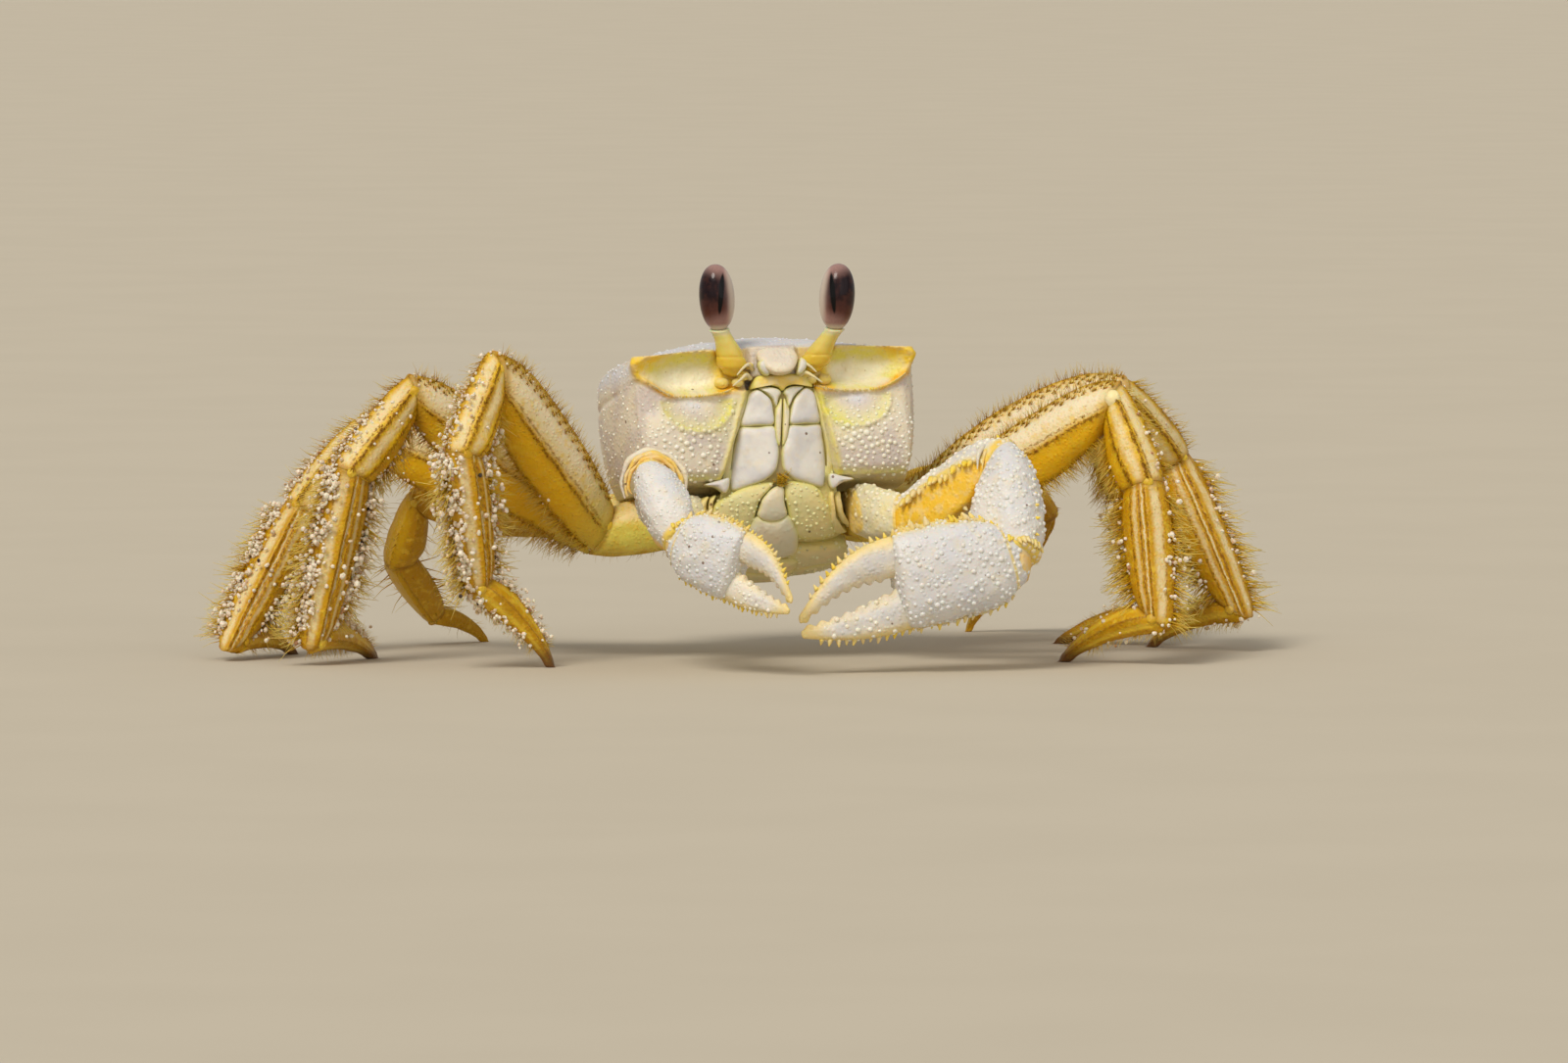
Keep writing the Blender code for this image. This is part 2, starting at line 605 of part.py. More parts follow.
def finger_rings(root, tip, across, upward, half_root, bow, teeth_up):
    """Give a claw finger's rings: bowed, tapering, with low teeth on its biting edge."""
    along = (tip - root).normalized()
    length = (tip - root).length
    steps = FINGER_TEETH * 2
    rings = []
    for index in range(steps + 1):
        share = index / steps
        half = half_root + (FINGER_TIP_HALF - half_root) * share ** 1.3
        centre = root + along * (length * share) + upward * (bow * math.sin(math.pi * share))
        tooth = FINGER_TOOTH_HEIGHT if index % 2 and index < steps else 0.0
        ring = []
        for part_across, part_up in round_section(8):
            lift = part_up * half
            if part_up * teeth_up > 0.9:
                lift += tooth * teeth_up
            ring.append(centre + across * (part_across * half * FINGER_THICKNESS) + upward * lift)
        rings.append(ring)
    return rings


def build_claw(scene, side_name, side):
    """Build one claw: base, merus, carpus, palm with its fixed finger, and the free finger."""
    joints = [Vector(point) for point in CLAW_JOINTS[side_name]]
    scale = CLAW_SCALE[side_name]
    foot = body_matrix() @ (mirrored(CLAW_FOOT, side) * MM) / MM
    points = [foot] + joints[:4]
    tip = joints[4]
    lateral = body_matrix().to_3x3() @ Vector((side, 0.0, 0.0))
    runs = [(after - before).normalized() for before, after in zip(points, points[1:])]
    across = body_matrix().to_3x3() @ Vector((0.0, -1.0, 0.0))
    section = round_section(CLAW_SECTION_POINTS)
    for index, name in enumerate(("base", "merus", "carpus", "palm")):
        before = lateral if index == 0 else (runs[index - 1] + runs[index]).normalized()
        after = runs[index] if index == 3 else (runs[index] + runs[index + 1]).normalized()
        across = carried_across(across, runs[index])
        if name == "palm":
            across = runs[index].cross(Vector((0.0, 0.0, 1.0))).normalized() * side
        profile = tuple((share, high * scale, wide * scale) for share, high, wide in CLAW_PROFILES[name])
        line = [points[index], points[index + 1]]
        segment = Segment(line, (before, after), across, side)
        mesh = mesh_from_rings(f"claw_{side_name}_{name}", segment.rings(profile, section))
        piece = add_piece(scene, f"claw_{side_name}_{name}", mesh, "claw_white", scene.root)
        if name == "palm":
            add_fingers(scene, piece, side_name, (points[index + 1], tip, across, runs[index], side, scale))


def add_fingers(scene, palm, side_name, frame):
    """Join the fixed finger to the palm's lower half and set the free finger above it."""
    end, tip, across, along, side, scale = frame
    upward = across.cross(along) * side
    half = FINGER_BASE_HALF * scale
    high = CLAW_PROFILES["palm"][-1][1] * scale
    fixed_root = end - upward * (high - half) - along * (2.0 * scale)
    fixed = finger_rings(fixed_root, tip - upward * (1.1 * scale), across, upward, half, -0.8 * scale, 1)
    combine(scene, palm, mesh_from_rings("fixed_finger", fixed), "UNION")
    free_root = end + upward * (high - half) + along * JOINT_GAP
    free = finger_rings(free_root, tip + upward * (1.1 * scale), across, upward, half * 0.95, 1.8 * scale, -1)
    mesh = mesh_from_rings(f"claw_{side_name}_finger", free)
    add_piece(scene, f"claw_{side_name}_finger", mesh, "claw_white", scene.root)


# ---------------------------------------------------------------- whole animal


def centre_on_floor(scene):
    """Move the root so that the middle of the animal's bounding box is above the origin."""
    bpy.context.view_layer.update()
    corners = [piece.matrix_world @ Vector(corner) for piece in scene.parts.objects
               if piece.type == "MESH" for corner in piece.bound_box]
    middle = [(min(c[axis] for c in corners) + max(c[axis] for c in corners)) / 2 for axis in (0, 1)]
    scene.root.location = (-middle[0], -middle[1], 0.0)
    bpy.context.view_layer.update()


def build():
    """Build the whole crab."""
    scene = make_scene()
    build_carapace(scene)
    build_thorax(scene)
    build_abdomen(scene)
    build_mouth_frame(scene)
    for side_name, side in (("right", -1), ("left", 1)):
        build_maxilliped(scene, f"maxilliped_{side_name}", side)
        build_eye(scene, side_name, side)
        build_claw(scene, side_name, side)
        for leg in LEG_LENGTHS:
            build_leg(scene, leg, side_name, side)
    centre_on_floor(scene)


build()
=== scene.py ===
"""Looks of the ghost crab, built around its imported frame.

The animal faces -Y, its own right side at -X and its own left side at +X. Sizes are millimetres
and angles are degrees, in the model's frame before it is centred on the floor. ANCHOR turns
them into the frame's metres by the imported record's floor mount.
"""

import json
import logging
import math
from collections.abc import Callable
from dataclasses import dataclass, field, replace
from enum import Enum

import bpy
import numpy as np
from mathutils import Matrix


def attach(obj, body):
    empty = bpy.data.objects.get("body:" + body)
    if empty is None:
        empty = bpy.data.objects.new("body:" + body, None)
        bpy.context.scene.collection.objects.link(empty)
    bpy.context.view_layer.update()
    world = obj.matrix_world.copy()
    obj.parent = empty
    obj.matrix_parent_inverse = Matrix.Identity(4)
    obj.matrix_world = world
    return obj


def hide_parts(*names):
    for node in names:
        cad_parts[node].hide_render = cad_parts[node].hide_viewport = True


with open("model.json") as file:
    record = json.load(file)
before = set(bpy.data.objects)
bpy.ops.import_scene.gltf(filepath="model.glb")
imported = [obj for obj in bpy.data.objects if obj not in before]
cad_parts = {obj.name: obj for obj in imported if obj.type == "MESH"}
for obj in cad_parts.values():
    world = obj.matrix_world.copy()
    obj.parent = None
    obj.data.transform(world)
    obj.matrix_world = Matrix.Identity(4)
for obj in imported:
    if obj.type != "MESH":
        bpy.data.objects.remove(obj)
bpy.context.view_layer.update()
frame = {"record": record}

Array = np.ndarray
Colour = tuple[float, float, float, float]
Material, Object, Socket = bpy.types.Material, bpy.types.Object, bpy.types.NodeSocket
Masks = dict[str, Array | float]
Outline = tuple[tuple[float, float], ...]
Place = tuple[float, float, float]
Surface = Callable[[Array, Array, Array], Array]
Table = tuple[tuple[float, float], ...]
LOG = logging.getLogger("ghost_crab")
MM = 0.001
SEED = 2290


# ---------------------------------------------------------------- numbers


def tint(red: int, green: int, blue: int) -> Colour:
    """Turn an 8-bit display colour into a linear one with full alpha."""
    linear = [((c / 255 + 0.055) / 1.055) ** 2.4 if c > 10 else c / 255 / 12.92 for c in (red, green, blue)]
    return (*linear, 1.0)


def read(table: Table | Array, position: Array | float) -> Array:
    """Read a (position, value) table as a smooth curve through its rows.

    Args:
        table: The rows, in rising order of position.
        position: Where to read it.

    Returns:
        The values there, held constant beyond both ends.
    """
    at, value = np.array(table, float).T
    where = np.clip(np.asarray(position, float), at[0], at[-1])
    row = np.clip(np.searchsorted(at, where, side="left") - 1, 0, len(at) - 2)
    low, high = np.maximum(np.arange(len(at)) - 1, 0), np.minimum(np.arange(len(at)) + 1, len(at) - 1)
    slope = (value[high] - value[low]) / (at[high] - at[low])
    width = at[row + 1] - at[row]
    share = (where - at[row]) / width
    rest = 1.0 - share
    return (value[row] * rest * rest * (1 + 2 * share) + slope[row] * width * share * rest * rest
            + value[row + 1] * share * share * (3 - 2 * share) - slope[row + 1] * width * share * share * rest)


def trace(knots: Array, share: Array) -> Array:
    """Give places at shares of the way along a smooth line through evenly numbered knots."""
    table = np.linspace(0, 1, len(knots))
    return np.stack([read(np.stack((table, column), -1), share) for column in knots.T], -1)


def loop(knots: Array, place: Array) -> Array:
    """Give places on the smooth closed curve through some knots.

    Args:
        knots: The knots.
        place: Where to read the curve, in knots from the first.

    Returns:
        The places.
    """
    row = place.astype(int) % len(knots)
    t = (place - np.floor(place))[..., None]
    p0, p1, p2, p3 = (knots[(row + step) % len(knots)] for step in (-1, 0, 1, 2))
    return 0.5 * (2 * p1 + (p2 - p0) * t + (2 * p0 - 5 * p1 + 4 * p2 - p3) * t * t
                  + (3 * p1 - p0 - 3 * p2 + p3) * t ** 3)


def mirrored(half: Outline, back: int = 0) -> Outline:
    """Complete an outline whose left half mirrors its right half, and begin it some points further back."""
    whole = half + tuple((-x, y) for x, y in reversed(half) if x)
    return whole[len(whole) - back:] + whole[:len(whole) - back]


def ease(low: float, high: float, value: Array) -> Array:
    """Rise smoothly from 0 at low to 1 at high."""
    share = np.clip((value - low) / (high - low), 0.0, 1.0)
    return share * share * (3.0 - 2.0 * share)


def hump(distance: Array, width: float) -> Array:
    """Give a rounded hump of height 1 at distance 0."""
    return np.exp(-(distance / width) ** 2)


def clamp(value: Array) -> Array:
    """Keep values between 0 and 1."""
    return np.clip(value, 0, 1)


def stack(*parts: Array | float) -> Array:
    """Put numbers side by side on a new last axis, each stretched to the shape of all."""
    return np.stack(np.broadcast_arrays(*parts), -1)


def circle(corners: int) -> Array:
    """Give evenly spread angles once round, in radians."""
    return np.linspace(0, 2 * math.pi, corners, endpoint=False)


def wrap(line: Array, radius: Array, first: Array, second: Array, corners: int) -> Array:
    """Give rings round a line.

    Args:
        line: The rings' middles.
        radius: Their radii.
        first: The way to their first points, for each or for all.
        second: The way a quarter turn on.
        corners: Points on each ring.

    Returns:
        The places, ring by ring.
    """
    turn = circle(corners)[:, None]
    return line[:, None] + radius[:, None, None] * (first[:, None] * np.cos(turn) + second[:, None] * np.sin(turn))


def apart(angle: Array, at: float) -> Array:
    """Give the signed turn from one angle to others, within half a turn."""
    return (angle - at + 180.0) % 360.0 - 180.0


def unit(vector: Array) -> Array:
    """Scale vectors to length 1."""
    return vector / np.maximum(np.linalg.norm(vector, axis=-1, keepdims=True), 1e-9)


def square_off(vector: Array, along: Array) -> Array:
    """Turn a vector square to a direction, at length 1."""
    return unit(vector - along * vector.dot(along))


def direction(heading: float, rise: float) -> Array:
    """Give the unit vector of a heading about Z and a rise above the floor."""
    turn, lift = math.radians(heading), math.radians(rise)
    return np.array((math.cos(lift) * math.cos(turn), math.cos(lift) * math.sin(turn), math.sin(lift)))


def turn_about(axis: str, angle: float) -> Array:
    """Give the matrix that turns about an axis.

    Args:
        axis: X, Y or Z.
        angle: The turn.

    Returns:
        The matrix.
    """
    c, s = math.cos(math.radians(angle)), math.sin(math.radians(angle))
    return {"X": np.array(((1, 0, 0), (0, c, -s), (0, s, c))),
            "Y": np.array(((c, 0, s), (0, 1, 0), (-s, 0, c))),
            "Z": np.array(((c, -s, 0), (s, c, 0), (0, 0, 1)))}[axis]


def ripple(points: Array, pitch: float, seed: int) -> Array:
    """Give smooth, irregular waves over space, from -1 to 1.

    Args:
        points: Places in millimetres.
        pitch: Typical distance between crests.
        seed: Picks the waves.

    Returns:
        One value for each place.
    """
    draw = np.random.default_rng(seed)
    total = np.zeros(points.shape[:-1])
    for _ in range(7):
        wave = unit(draw.normal(size=3)) * (2 * math.pi / (pitch * draw.uniform(0.7, 1.5)))
        total = total + np.sin(points @ wave + draw.uniform(0, 6.28))
    return total / 4.0


class Side(Enum):
    """One side of the animal, by its sign along X."""

    RIGHT = -1
    LEFT = 1

    @property
    def word(self) -> str:
        """The side's name in the frame's node names."""
        return self.name.lower()


@dataclass(frozen=True)
class Anchor:
    """Ties the model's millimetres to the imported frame."""

    rest_tip: tuple[float, float] = (-30.40, -9.71)

    @property
    def shift(self) -> Array:
        """The model's move onto the middle of the floor, in metres."""
        tip = frame["record"]["mounts"][0]["pos_m"]
        return np.array((tip[0] - self.rest_tip[0] * MM, tip[1] - self.rest_tip[1] * MM, 0.0))

    def world(self, points: Array) -> Array:
        """Turn places in millimetres into the frame's metres."""
        return np.asarray(points, float) * MM + self.shift


@dataclass(frozen=True)
class BodyPose:
    """How the body is held: the origin is the middle of the carapace's front edge."""

    front_height: float = 42.0
    yaw: float = 14.0
    nose_up: float = 9.0
    roll: float = 1.5

    @property
    def turn(self) -> Array:
        """The body's turn in the model."""
        return turn_about("Z", self.yaw) @ turn_about("X", -self.nose_up) @ turn_about("Y", -self.roll)

    def place(self, points: Array) -> Array:
        """Carry places from the body's frame into the model's."""
        return np.asarray(points, float) @ self.turn.T + np.array((0.0, 0.0, self.front_height))

    def place_on(self, side: Side, point: Place) -> Array:
        """Carry a place given for the body's left, on either side, into the model's frame."""
        return self.place(np.array((side.value * point[0], *point[1:])))


ANCHOR = Anchor()
POSE = BodyPose()


# ---------------------------------------------------------------- meshes


def ring_quads(rings: int, corners: int) -> Array:
    """Give the quads between rings that close on themselves.

    Args:
        rings: How many rings there are.
        corners: Points on each.

    Returns:
        Rows of four point numbers.
    """
    row, col = np.meshgrid(np.arange(rings - 1) * corners, np.arange(corners), indexing="ij")
    near, far = row + col, row + (col + 1) % corners
    return stack(near, far, far + corners, near + corners).reshape(-1, 4)


def pole_tris(rings: int, corners: int) -> Array:
    """Give the triangles that close a tube on two poles.

    Args:
        rings: How many rings it has.
        corners: Points on each. The poles are numbered after them all.

    Returns:
        Rows of three point numbers.
    """
    turn, last = np.arange(corners), (rings - 1) * corners
    follow = (turn + 1) % corners
    first = stack(follow, turn, rings * corners)
    return np.concatenate((first, stack(last + turn, last + follow, rings * corners + 1)))


class Form:
    """A mesh in the making, of closed shells with a map and painted masks."""

    def __init__(self) -> None:
        """Start with no shells."""
        self.points: list[Array] = []
        self.faces: list[tuple[int, ...]] = []
        self.map: list[Array] = []
        self.masks: dict[str, list[Array]] = {}
        self.count = 0

    def add(self, points: Array, quads: Array, tris: Array, maps: tuple[Array, Array] | None = None,
            masks: Masks | None = None) -> None:
        """Add one closed shell, turned so that its faces point outwards.

        Args:
            points: Places in the model.
            quads: Rows of four point numbers.
            tris: Rows of three point numbers.
            maps: Two map numbers for each quad corner, and for each triangle corner.
            masks: Painted masks, one value for each point.
        """
        masks = masks or {}
        quad_map, tri_map = maps or (np.zeros((len(quads), 4, 2)), np.zeros((len(tris), 3, 2)))
        split = np.concatenate((quads[:, :3], quads[:, (0, 2, 3)], tris))
        a, b, c = (points[split[:, corner]] - points.mean(0) for corner in range(3))
        if np.einsum("ij,ij->i", a, np.cross(b, c)).sum() < 0:
            quads, tris, quad_map, tri_map = (rows[:, ::-1] for rows in (quads, tris, quad_map, tri_map))
        for faces in (quads, tris):
            self.faces.extend(map(tuple, (faces + self.count).tolist()))
        self.map.extend((quad_map.reshape(-1, 2), tri_map.reshape(-1, 2)))
        for name in sorted(set(self.masks) | set(masks)):
            rows = self.masks.setdefault(name, [np.zeros(self.count)] if self.count else [])
            rows.append(np.zeros(len(points)) + masks.get(name, 0.0))
        self.points.append(points)
        self.count += len(points)

    def build(self, name: str, material: Material) -> Object:
        """Make the mesh's object, in the frame's metres.

        Args:
            name: The piece's name.
            material: Its finish.

        Returns:
            The new object, at the origin.
        """
        mesh = bpy.data.meshes.new(name)
        mesh.from_pydata(ANCHOR.world(np.concatenate(self.points)).tolist(), [], self.faces)
        layer = mesh.uv_layers.new(name="Pattern")
        layer.data.foreach_set("uv", np.concatenate(self.map).ravel().astype(np.float32))
        for mask, rows in self.masks.items():
            layer = mesh.attributes.new(mask, "FLOAT", "POINT")
            layer.data.foreach_set("value", np.concatenate(rows).astype(np.float32))
        mesh.shade_smooth()
        mesh.materials.append(material)
        return show(name, mesh)


def show(name: str, data: bpy.types.ID) -> Object:
    """Put a mesh, a light or a camera in the scene.

    Args:
        name: The object's name.
        data: What it shows.

    Returns:
        The object.
    """
    piece = bpy.data.objects.new(name, data)
    bpy.context.scene.collection.objects.link(piece)
    return piece


@dataclass(frozen=True)
class Skin:
    """A tube of equal rings, closed by a rounded cap at each end."""

    cap_steps: int = 5

    def cap(self, ring: Array, outwards: Array, bulge: float) -> list[Array]:
        """Give the shrinking rings of one cap, from the tube's end to near its pole."""
        turns = [math.pi / 2 * step / (self.cap_steps + 0.6) for step in range(1, self.cap_steps + 1)]
        return [ring.mean(0) + (ring - ring.mean(0)) * math.cos(t) + outwards * bulge * math.sin(t) for t in turns]

    def close(self, form: Form, rings: Array, bulges: tuple[float, float],
              masks: Masks | None = None, along: Array | None = None) -> None:
        """Add the closed tube to a form.

        Args:
            form: The mesh in the making.
            rings: Ring by ring, the places round it.
            bulges: How far the two caps stand out.
            masks: Painted masks, ring by ring or the same all over.
            along: The map's first number for each ring, evenly spread if left out.
        """
        along = np.linspace(0, 1, len(rings)) if along is None else along
        first = unit(rings[0].mean(0) - rings[1].mean(0))
        last = unit(rings[-1].mean(0) - rings[-2].mean(0))
        every = np.array([*self.cap(rings[0], first, bulges[0])[::-1], *rings, *self.cap(rings[-1], last, bulges[1])])
        steps, count = every.shape[:2]
        ends = (self.cap_steps, self.cap_steps)
        share = np.pad(along, ends, "edge")
        poles = np.array((rings[0].mean(0) + first * bulges[0], rings[-1].mean(0) + last * bulges[1]))
        row, col = np.meshgrid(np.arange(steps - 1), np.arange(count), indexing="ij")
        near, far, left, right = share[row], share[row + 1], col / count, (col + 1) / count
        quad_map = np.stack((stack(near, left), stack(near, right), stack(far, right), stack(far, left)), -2)
        turn = np.arange(count)
        edge = stack(turn / count, (turn + 1) / count, (turn + 0.5) / count)
        tri_map = np.concatenate((stack(share[0], edge[:, (1, 0, 2)]), stack(share[-1], edge)))
        painted = {}
        for name, value in (masks or {}).items():
            rows = np.broadcast_to(value, rings.shape[:2])
            whole = np.pad(rows, (ends, (0, 0)), "edge").ravel()
            painted[name] = np.concatenate((whole, (rows[0].mean(), rows[-1].mean())))
        form.add(np.concatenate((every.reshape(-1, 3), poles)), ring_quads(steps, count), pole_tris(steps, count),
                 (quad_map.reshape(-1, 4, 2), tri_map), painted)


SKIN = Skin()


@dataclass(frozen=True)
class Plate:
    """A closed, cushioned plate with a smooth outline, laid on any surface.

    The outline is given in two flat numbers, and the surface turns them and a height into places.
    """

    outline: Outline
    height: float
    depth: float = 0.8
    edge: float = 3.0
    dish: float = 0.0
    rim_from: float = 0.62
    round_steps: int = 14
    corners: int = 56

    def add_to(self, form: Form, surface: Surface, masks: Masks) -> None:
        """Lay the plate on a surface.

        Args:
            form: The mesh in the making.
            surface: Turns arrays of two flat numbers and a height into places.
            masks: Painted masks, by name. "edge" is scaled by nearness to the rim.
        """
        knots = np.array(self.outline, float)
        rim = loop(knots, np.linspace(0, len(knots), self.corners, endpoint=False))
        centre = rim.mean(0)
        reach = np.sin(np.linspace(0, 1, self.round_steps + 1)[1:] * math.pi / 2)
        reach = np.concatenate((reach, reach[-1:]))
        lift = self.height * (1 - reach ** self.edge) ** 0.5 - self.dish * hump(reach, 0.55)
        lift[-1] = -self.depth
        rings = [surface(*(centre + (rim - centre) * r).T, np.full(len(rim), h)) for r, h in zip(reach, lift)]
        poles = [surface(*centre[:, None], np.array([h])) for h in (self.height - self.dish, -self.depth)]
        nearness = np.concatenate((np.repeat(ease(self.rim_from, 1.0, reach), len(rim)), (0.0, 1.0)))
        painted = {name: value * (nearness if name == "edge" else 1.0) for name, value in masks.items()}
        form.add(np.concatenate(rings + poles), ring_quads(len(rings), len(rim)), pole_tris(len(rings), len(rim)),
                 masks={"edge": nearness, **painted})


def add_ball(form: Form, centre: Array, axes: Array, masks: Masks, steps: int = 16) -> None:
    """Add a slightly wrinkled, flattened ball.

    Args:
        form: The mesh in the making.
        centre: Its middle.
        axes: Three rows: its half axes.
        masks: Painted masks, by name.
        steps: Rings and half the corners round it.
    """
    angle, turn = np.radians(np.linspace(-80, 80, steps))[:, None], circle(steps * 2)
    places = centre + stack(np.cos(angle) * np.cos(turn), np.cos(angle) * np.sin(turn), np.sin(angle)) @ axes
    places = places + (places - centre) * (ripple(places, 1.6, 5) * 0.05)[..., None]
    cap = float(np.linalg.norm(axes[2])) * 0.02
    SKIN.close(form, places, (cap, cap), masks)


# ---------------------------------------------------------------- node toolkit


class Reading:
    """A number socket that answers to Python's arithmetic."""

    def __init__(self, graph: "NodeKit", socket: Socket) -> None:
        """Wrap one socket of a tree."""
        self.graph, self.socket = graph, socket

    def __add__(self, other: "Reading | Socket | float") -> "Reading":
        """Add."""
        return self.graph.math("ADD", self, other)

    def __sub__(self, other: "Reading | Socket | float") -> "Reading":
        """Take away."""
        return self.graph.math("SUBTRACT", self, other)

    def __rsub__(self, other: float) -> "Reading":
        """Take away from a number."""
        return self.graph.math("SUBTRACT", other, self)

    def __mul__(self, other: "Reading | Socket | float") -> "Reading":
        """Multiply."""
        return self.graph.math("MULTIPLY", self, other)

    __radd__ = __add__
    __rmul__ = __mul__

    def ease(self, low: float, high: float) -> "Reading":
        """Rise smoothly from 0 at low to 1 at high."""
        return self.graph.reading("ShaderNodeMapRange", {"interpolation_type": "SMOOTHSTEP"},
                                  {"Value": self, "From Min": low, "From Max": high}, "Result")


class NodeKit:
    """A node tree, and the one place where its nodes are made."""

    def __init__(self, tree: bpy.types.NodeTree) -> None:
        """Take the tree."""
        self.tree = tree

    def node(self, kind: str, settings: dict | None = None, sockets: dict | None = None) -> bpy.types.Node:
        """Make one node.

        Args:
            kind: The node's type.
            settings: Its properties, set first.
            sockets: Values or links, by socket name or number.

        Returns:
            The node.
        """
        node = self.tree.nodes.new(kind)
        for name, value in (settings or {}).items():
            setattr(node, name, value)
        for name, value in (sockets or {}).items():
            self.feed(node.inputs[name], value)
        return node

    def feed(self, socket: Socket, value: object) -> None:
        """Link a socket to another, or set its constant.

        Args:
            socket: The socket.
            value: A reading or a socket to link, or a constant.
        """
        value = getattr(value, "socket", value)
        if isinstance(value, Socket):
            self.tree.links.new(value, socket)
        else:
            socket.default_value = value

    def reading(self, kind: str, settings: dict | None, sockets: dict, output: int | str = 0) -> Reading:
        """Make one node and read a number from it."""
        return Reading(self, self.node(kind, settings, sockets).outputs[output])

    def math(self, operation: str, *values: Reading | Socket | float) -> Reading:
        """Make one Math node."""
        return self.reading("ShaderNodeMath", {"operation": operation}, dict(enumerate(values)))


class Graph(NodeKit):
    """A material in the making: a ground colour with others laid over it."""

    def __init__(self, name: str, ground: Colour) -> None:
        """Start a material with a Principled shader and its output.

        Args:
            name: The material's name.
            ground: Its ground colour.
        """
        self.material = bpy.data.materials.new(name)
        self.material.use_nodes = True
        super().__init__(self.material.node_tree)
        self.tree.nodes.clear()
        self.shader = self.node("ShaderNodeBsdfPrincipled")
        self.node("ShaderNodeOutputMaterial", None, {"Surface": self.shader.outputs["BSDF"]})
        self.place = self.node("ShaderNodeTexCoord").outputs["Object"]
        self.colour: Colour | Socket = ground

    def lay(self, cover: Reading | float, hue: Colour) -> None:
        """Lay a colour over what is there, where a cover is 1."""
        self.colour = self.node("ShaderNodeMix", {"data_type": "RGBA"}, {0: cover, 6: self.colour, 7: hue}).outputs[2]

    def mask(self, name: str) -> Reading:
        """Read a painted mask."""
        return self.reading("ShaderNodeAttribute", {"attribute_name": name}, {}, "Fac")

    def noise(self, pitch: float, detail: float = 3.0, roughness: float = 0.55) -> Reading:
        """Give clouds from about 0.3 to 0.7 whose size is a pitch in millimetres."""
        return self.reading("ShaderNodeTexNoise", None, {"Vector": self.place, "Scale": 1 / (pitch * MM),
                                                         "Detail": detail, "Roughness": roughness}, "Fac")

    def cells(self, pitch: float, jitter: float = 1.0) -> Reading:
        """Give the distance to the nearest of many scattered seeds, by their pitch in millimetres."""
        return self.reading("ShaderNodeTexVoronoi", None, {"Vector": self.place, "Scale": 1 / (pitch * MM),
                                                           "Randomness": jitter}, "Distance")

    def finish(self, roughness: Reading | float, relief: Reading | None = None, relief_mm: float = 0.1,
               **constants: float) -> Material:
        """Feed the shader and hand over the material.

        Args:
            roughness: The roughness.
            relief: The height of its fine relief, from 0 to 1.
            relief_mm: How high that relief stands.
            **constants: Other shader sockets, with underscores for spaces.

        Returns:
            The material.
        """
        sockets = {"Base Color": self.colour, "Roughness": roughness}
        if relief is not None:
            sockets["Normal"] = self.node("ShaderNodeBump", None, {
                "Height": relief, "Distance": relief_mm * MM, "Strength": 1.0}).outputs["Normal"]
        for name, value in (sockets | constants).items():
            self.feed(self.shader.inputs[name.replace("_", " ")], value)
        return self.material


# ---------------------------------------------------------------- finishes


@dataclass(frozen=True)
class Palette:
    """The animal's colours, with one colour of painted shadow."""

    white: Colour = tint(232, 223, 204)
    bluish: Colour = tint(214, 214, 220)
    pearl: Colour = tint(242, 234, 220)
    cream: Colour = tint(228, 208, 156)
    lime: Colour = tint(220, 212, 98)
    olive: Colour = tint(156, 138, 44)
    milk: Colour = tint(246, 238, 208)
    shadow: Colour = tint(122, 96, 36)
    gold: Colour = tint(238, 204, 62)
    orange: Colour = tint(236, 174, 20)
    mustard: Colour = tint(222, 178, 16)
    amber: Colour = tint(198, 148, 2)
    brown: Colour = tint(148, 100, 0)
    sternum: Colour = tint(214, 205, 158)
    tip: Colour = tint(98, 62, 30)


PALETTE = Palette()


@dataclass(frozen=True)
class ShellFinish:
    """Hard white shell with painted yellow, green and orange, painted shade and sky reflection, and a fine grain."""

    name: str
    base: Colour
    shade: Colour
    grain_mm: float = 0.62
    relief_mm: float = 0.09
    edge: Colour = PALETTE.gold
    edge_amount: float = 0.0
    tinting: float = 1.0
    gloss: float = 0.34

    def make(self) -> Material:
        """Make the material.

        Returns:
            The material.
        """
        graph = Graph(self.name, self.base)
        fine = graph.noise(0.45, 4.0, 0.65)
        graph.lay(graph.noise(5.0, 4.0).ease(0.38, 0.62), self.shade)
        # Bluish tint: the shell's own tint on claws and abdomen, and on the carapace's dome a painted reflection of
        # the sky.
        graph.lay(graph.mask("blue") * 0.8, PALETTE.bluish)
        graph.lay(graph.mask("milk"), PALETTE.milk)
        graph.lay(graph.noise(1.7, 3.0).ease(0.50, 0.72) * 0.30, PALETTE.cream)
        uneven = graph.noise(1.3, 4.0, 0.6).ease(0.36, 0.60) * 0.45 + 0.62
        for mask in ("lime", "gold", "orange"):
            graph.lay(graph.mask(mask) * uneven * self.tinting, getattr(PALETTE, mask))
        graph.lay(graph.mask("edge") * self.edge_amount * (fine * 0.5 + 0.7), self.edge)
        # Painted shade: the deep mask lays the shadow colour over gaps that lie in shade.
        graph.lay(graph.mask("deep"), PALETTE.shadow)
        specks = graph.cells(1.15).ease(0.13, 0.07) * graph.noise(3.0).ease(0.50, 0.60)
        graph.lay(specks * (graph.mask("speck") * 0.6), PALETTE.brown)
        dirt = graph.cells(2.6).ease(0.095, 0.070) * graph.noise(6.0).ease(0.46, 0.52)
        graph.lay(dirt * 0.85, PALETTE.tip)
        relief = (1.0 - graph.cells(self.grain_mm).ease(0.05, 0.55)) * 0.7 + fine * 0.5
        return graph.finish(fine * 0.25 + self.gloss, relief, self.relief_mm, Subsurface_Weight=0.12,
                            Subsurface_Scale=0.0012, Specular_IOR_Level=0.4)


@dataclass(frozen=True)
class Band:
    """A stripe that runs along a limb at one angle from its upper ridge."""

    angle: float
    half: float
    colour: Colour
    soft: float = 4.0
    amount: float = 1.0
    break_up: float = 0.0


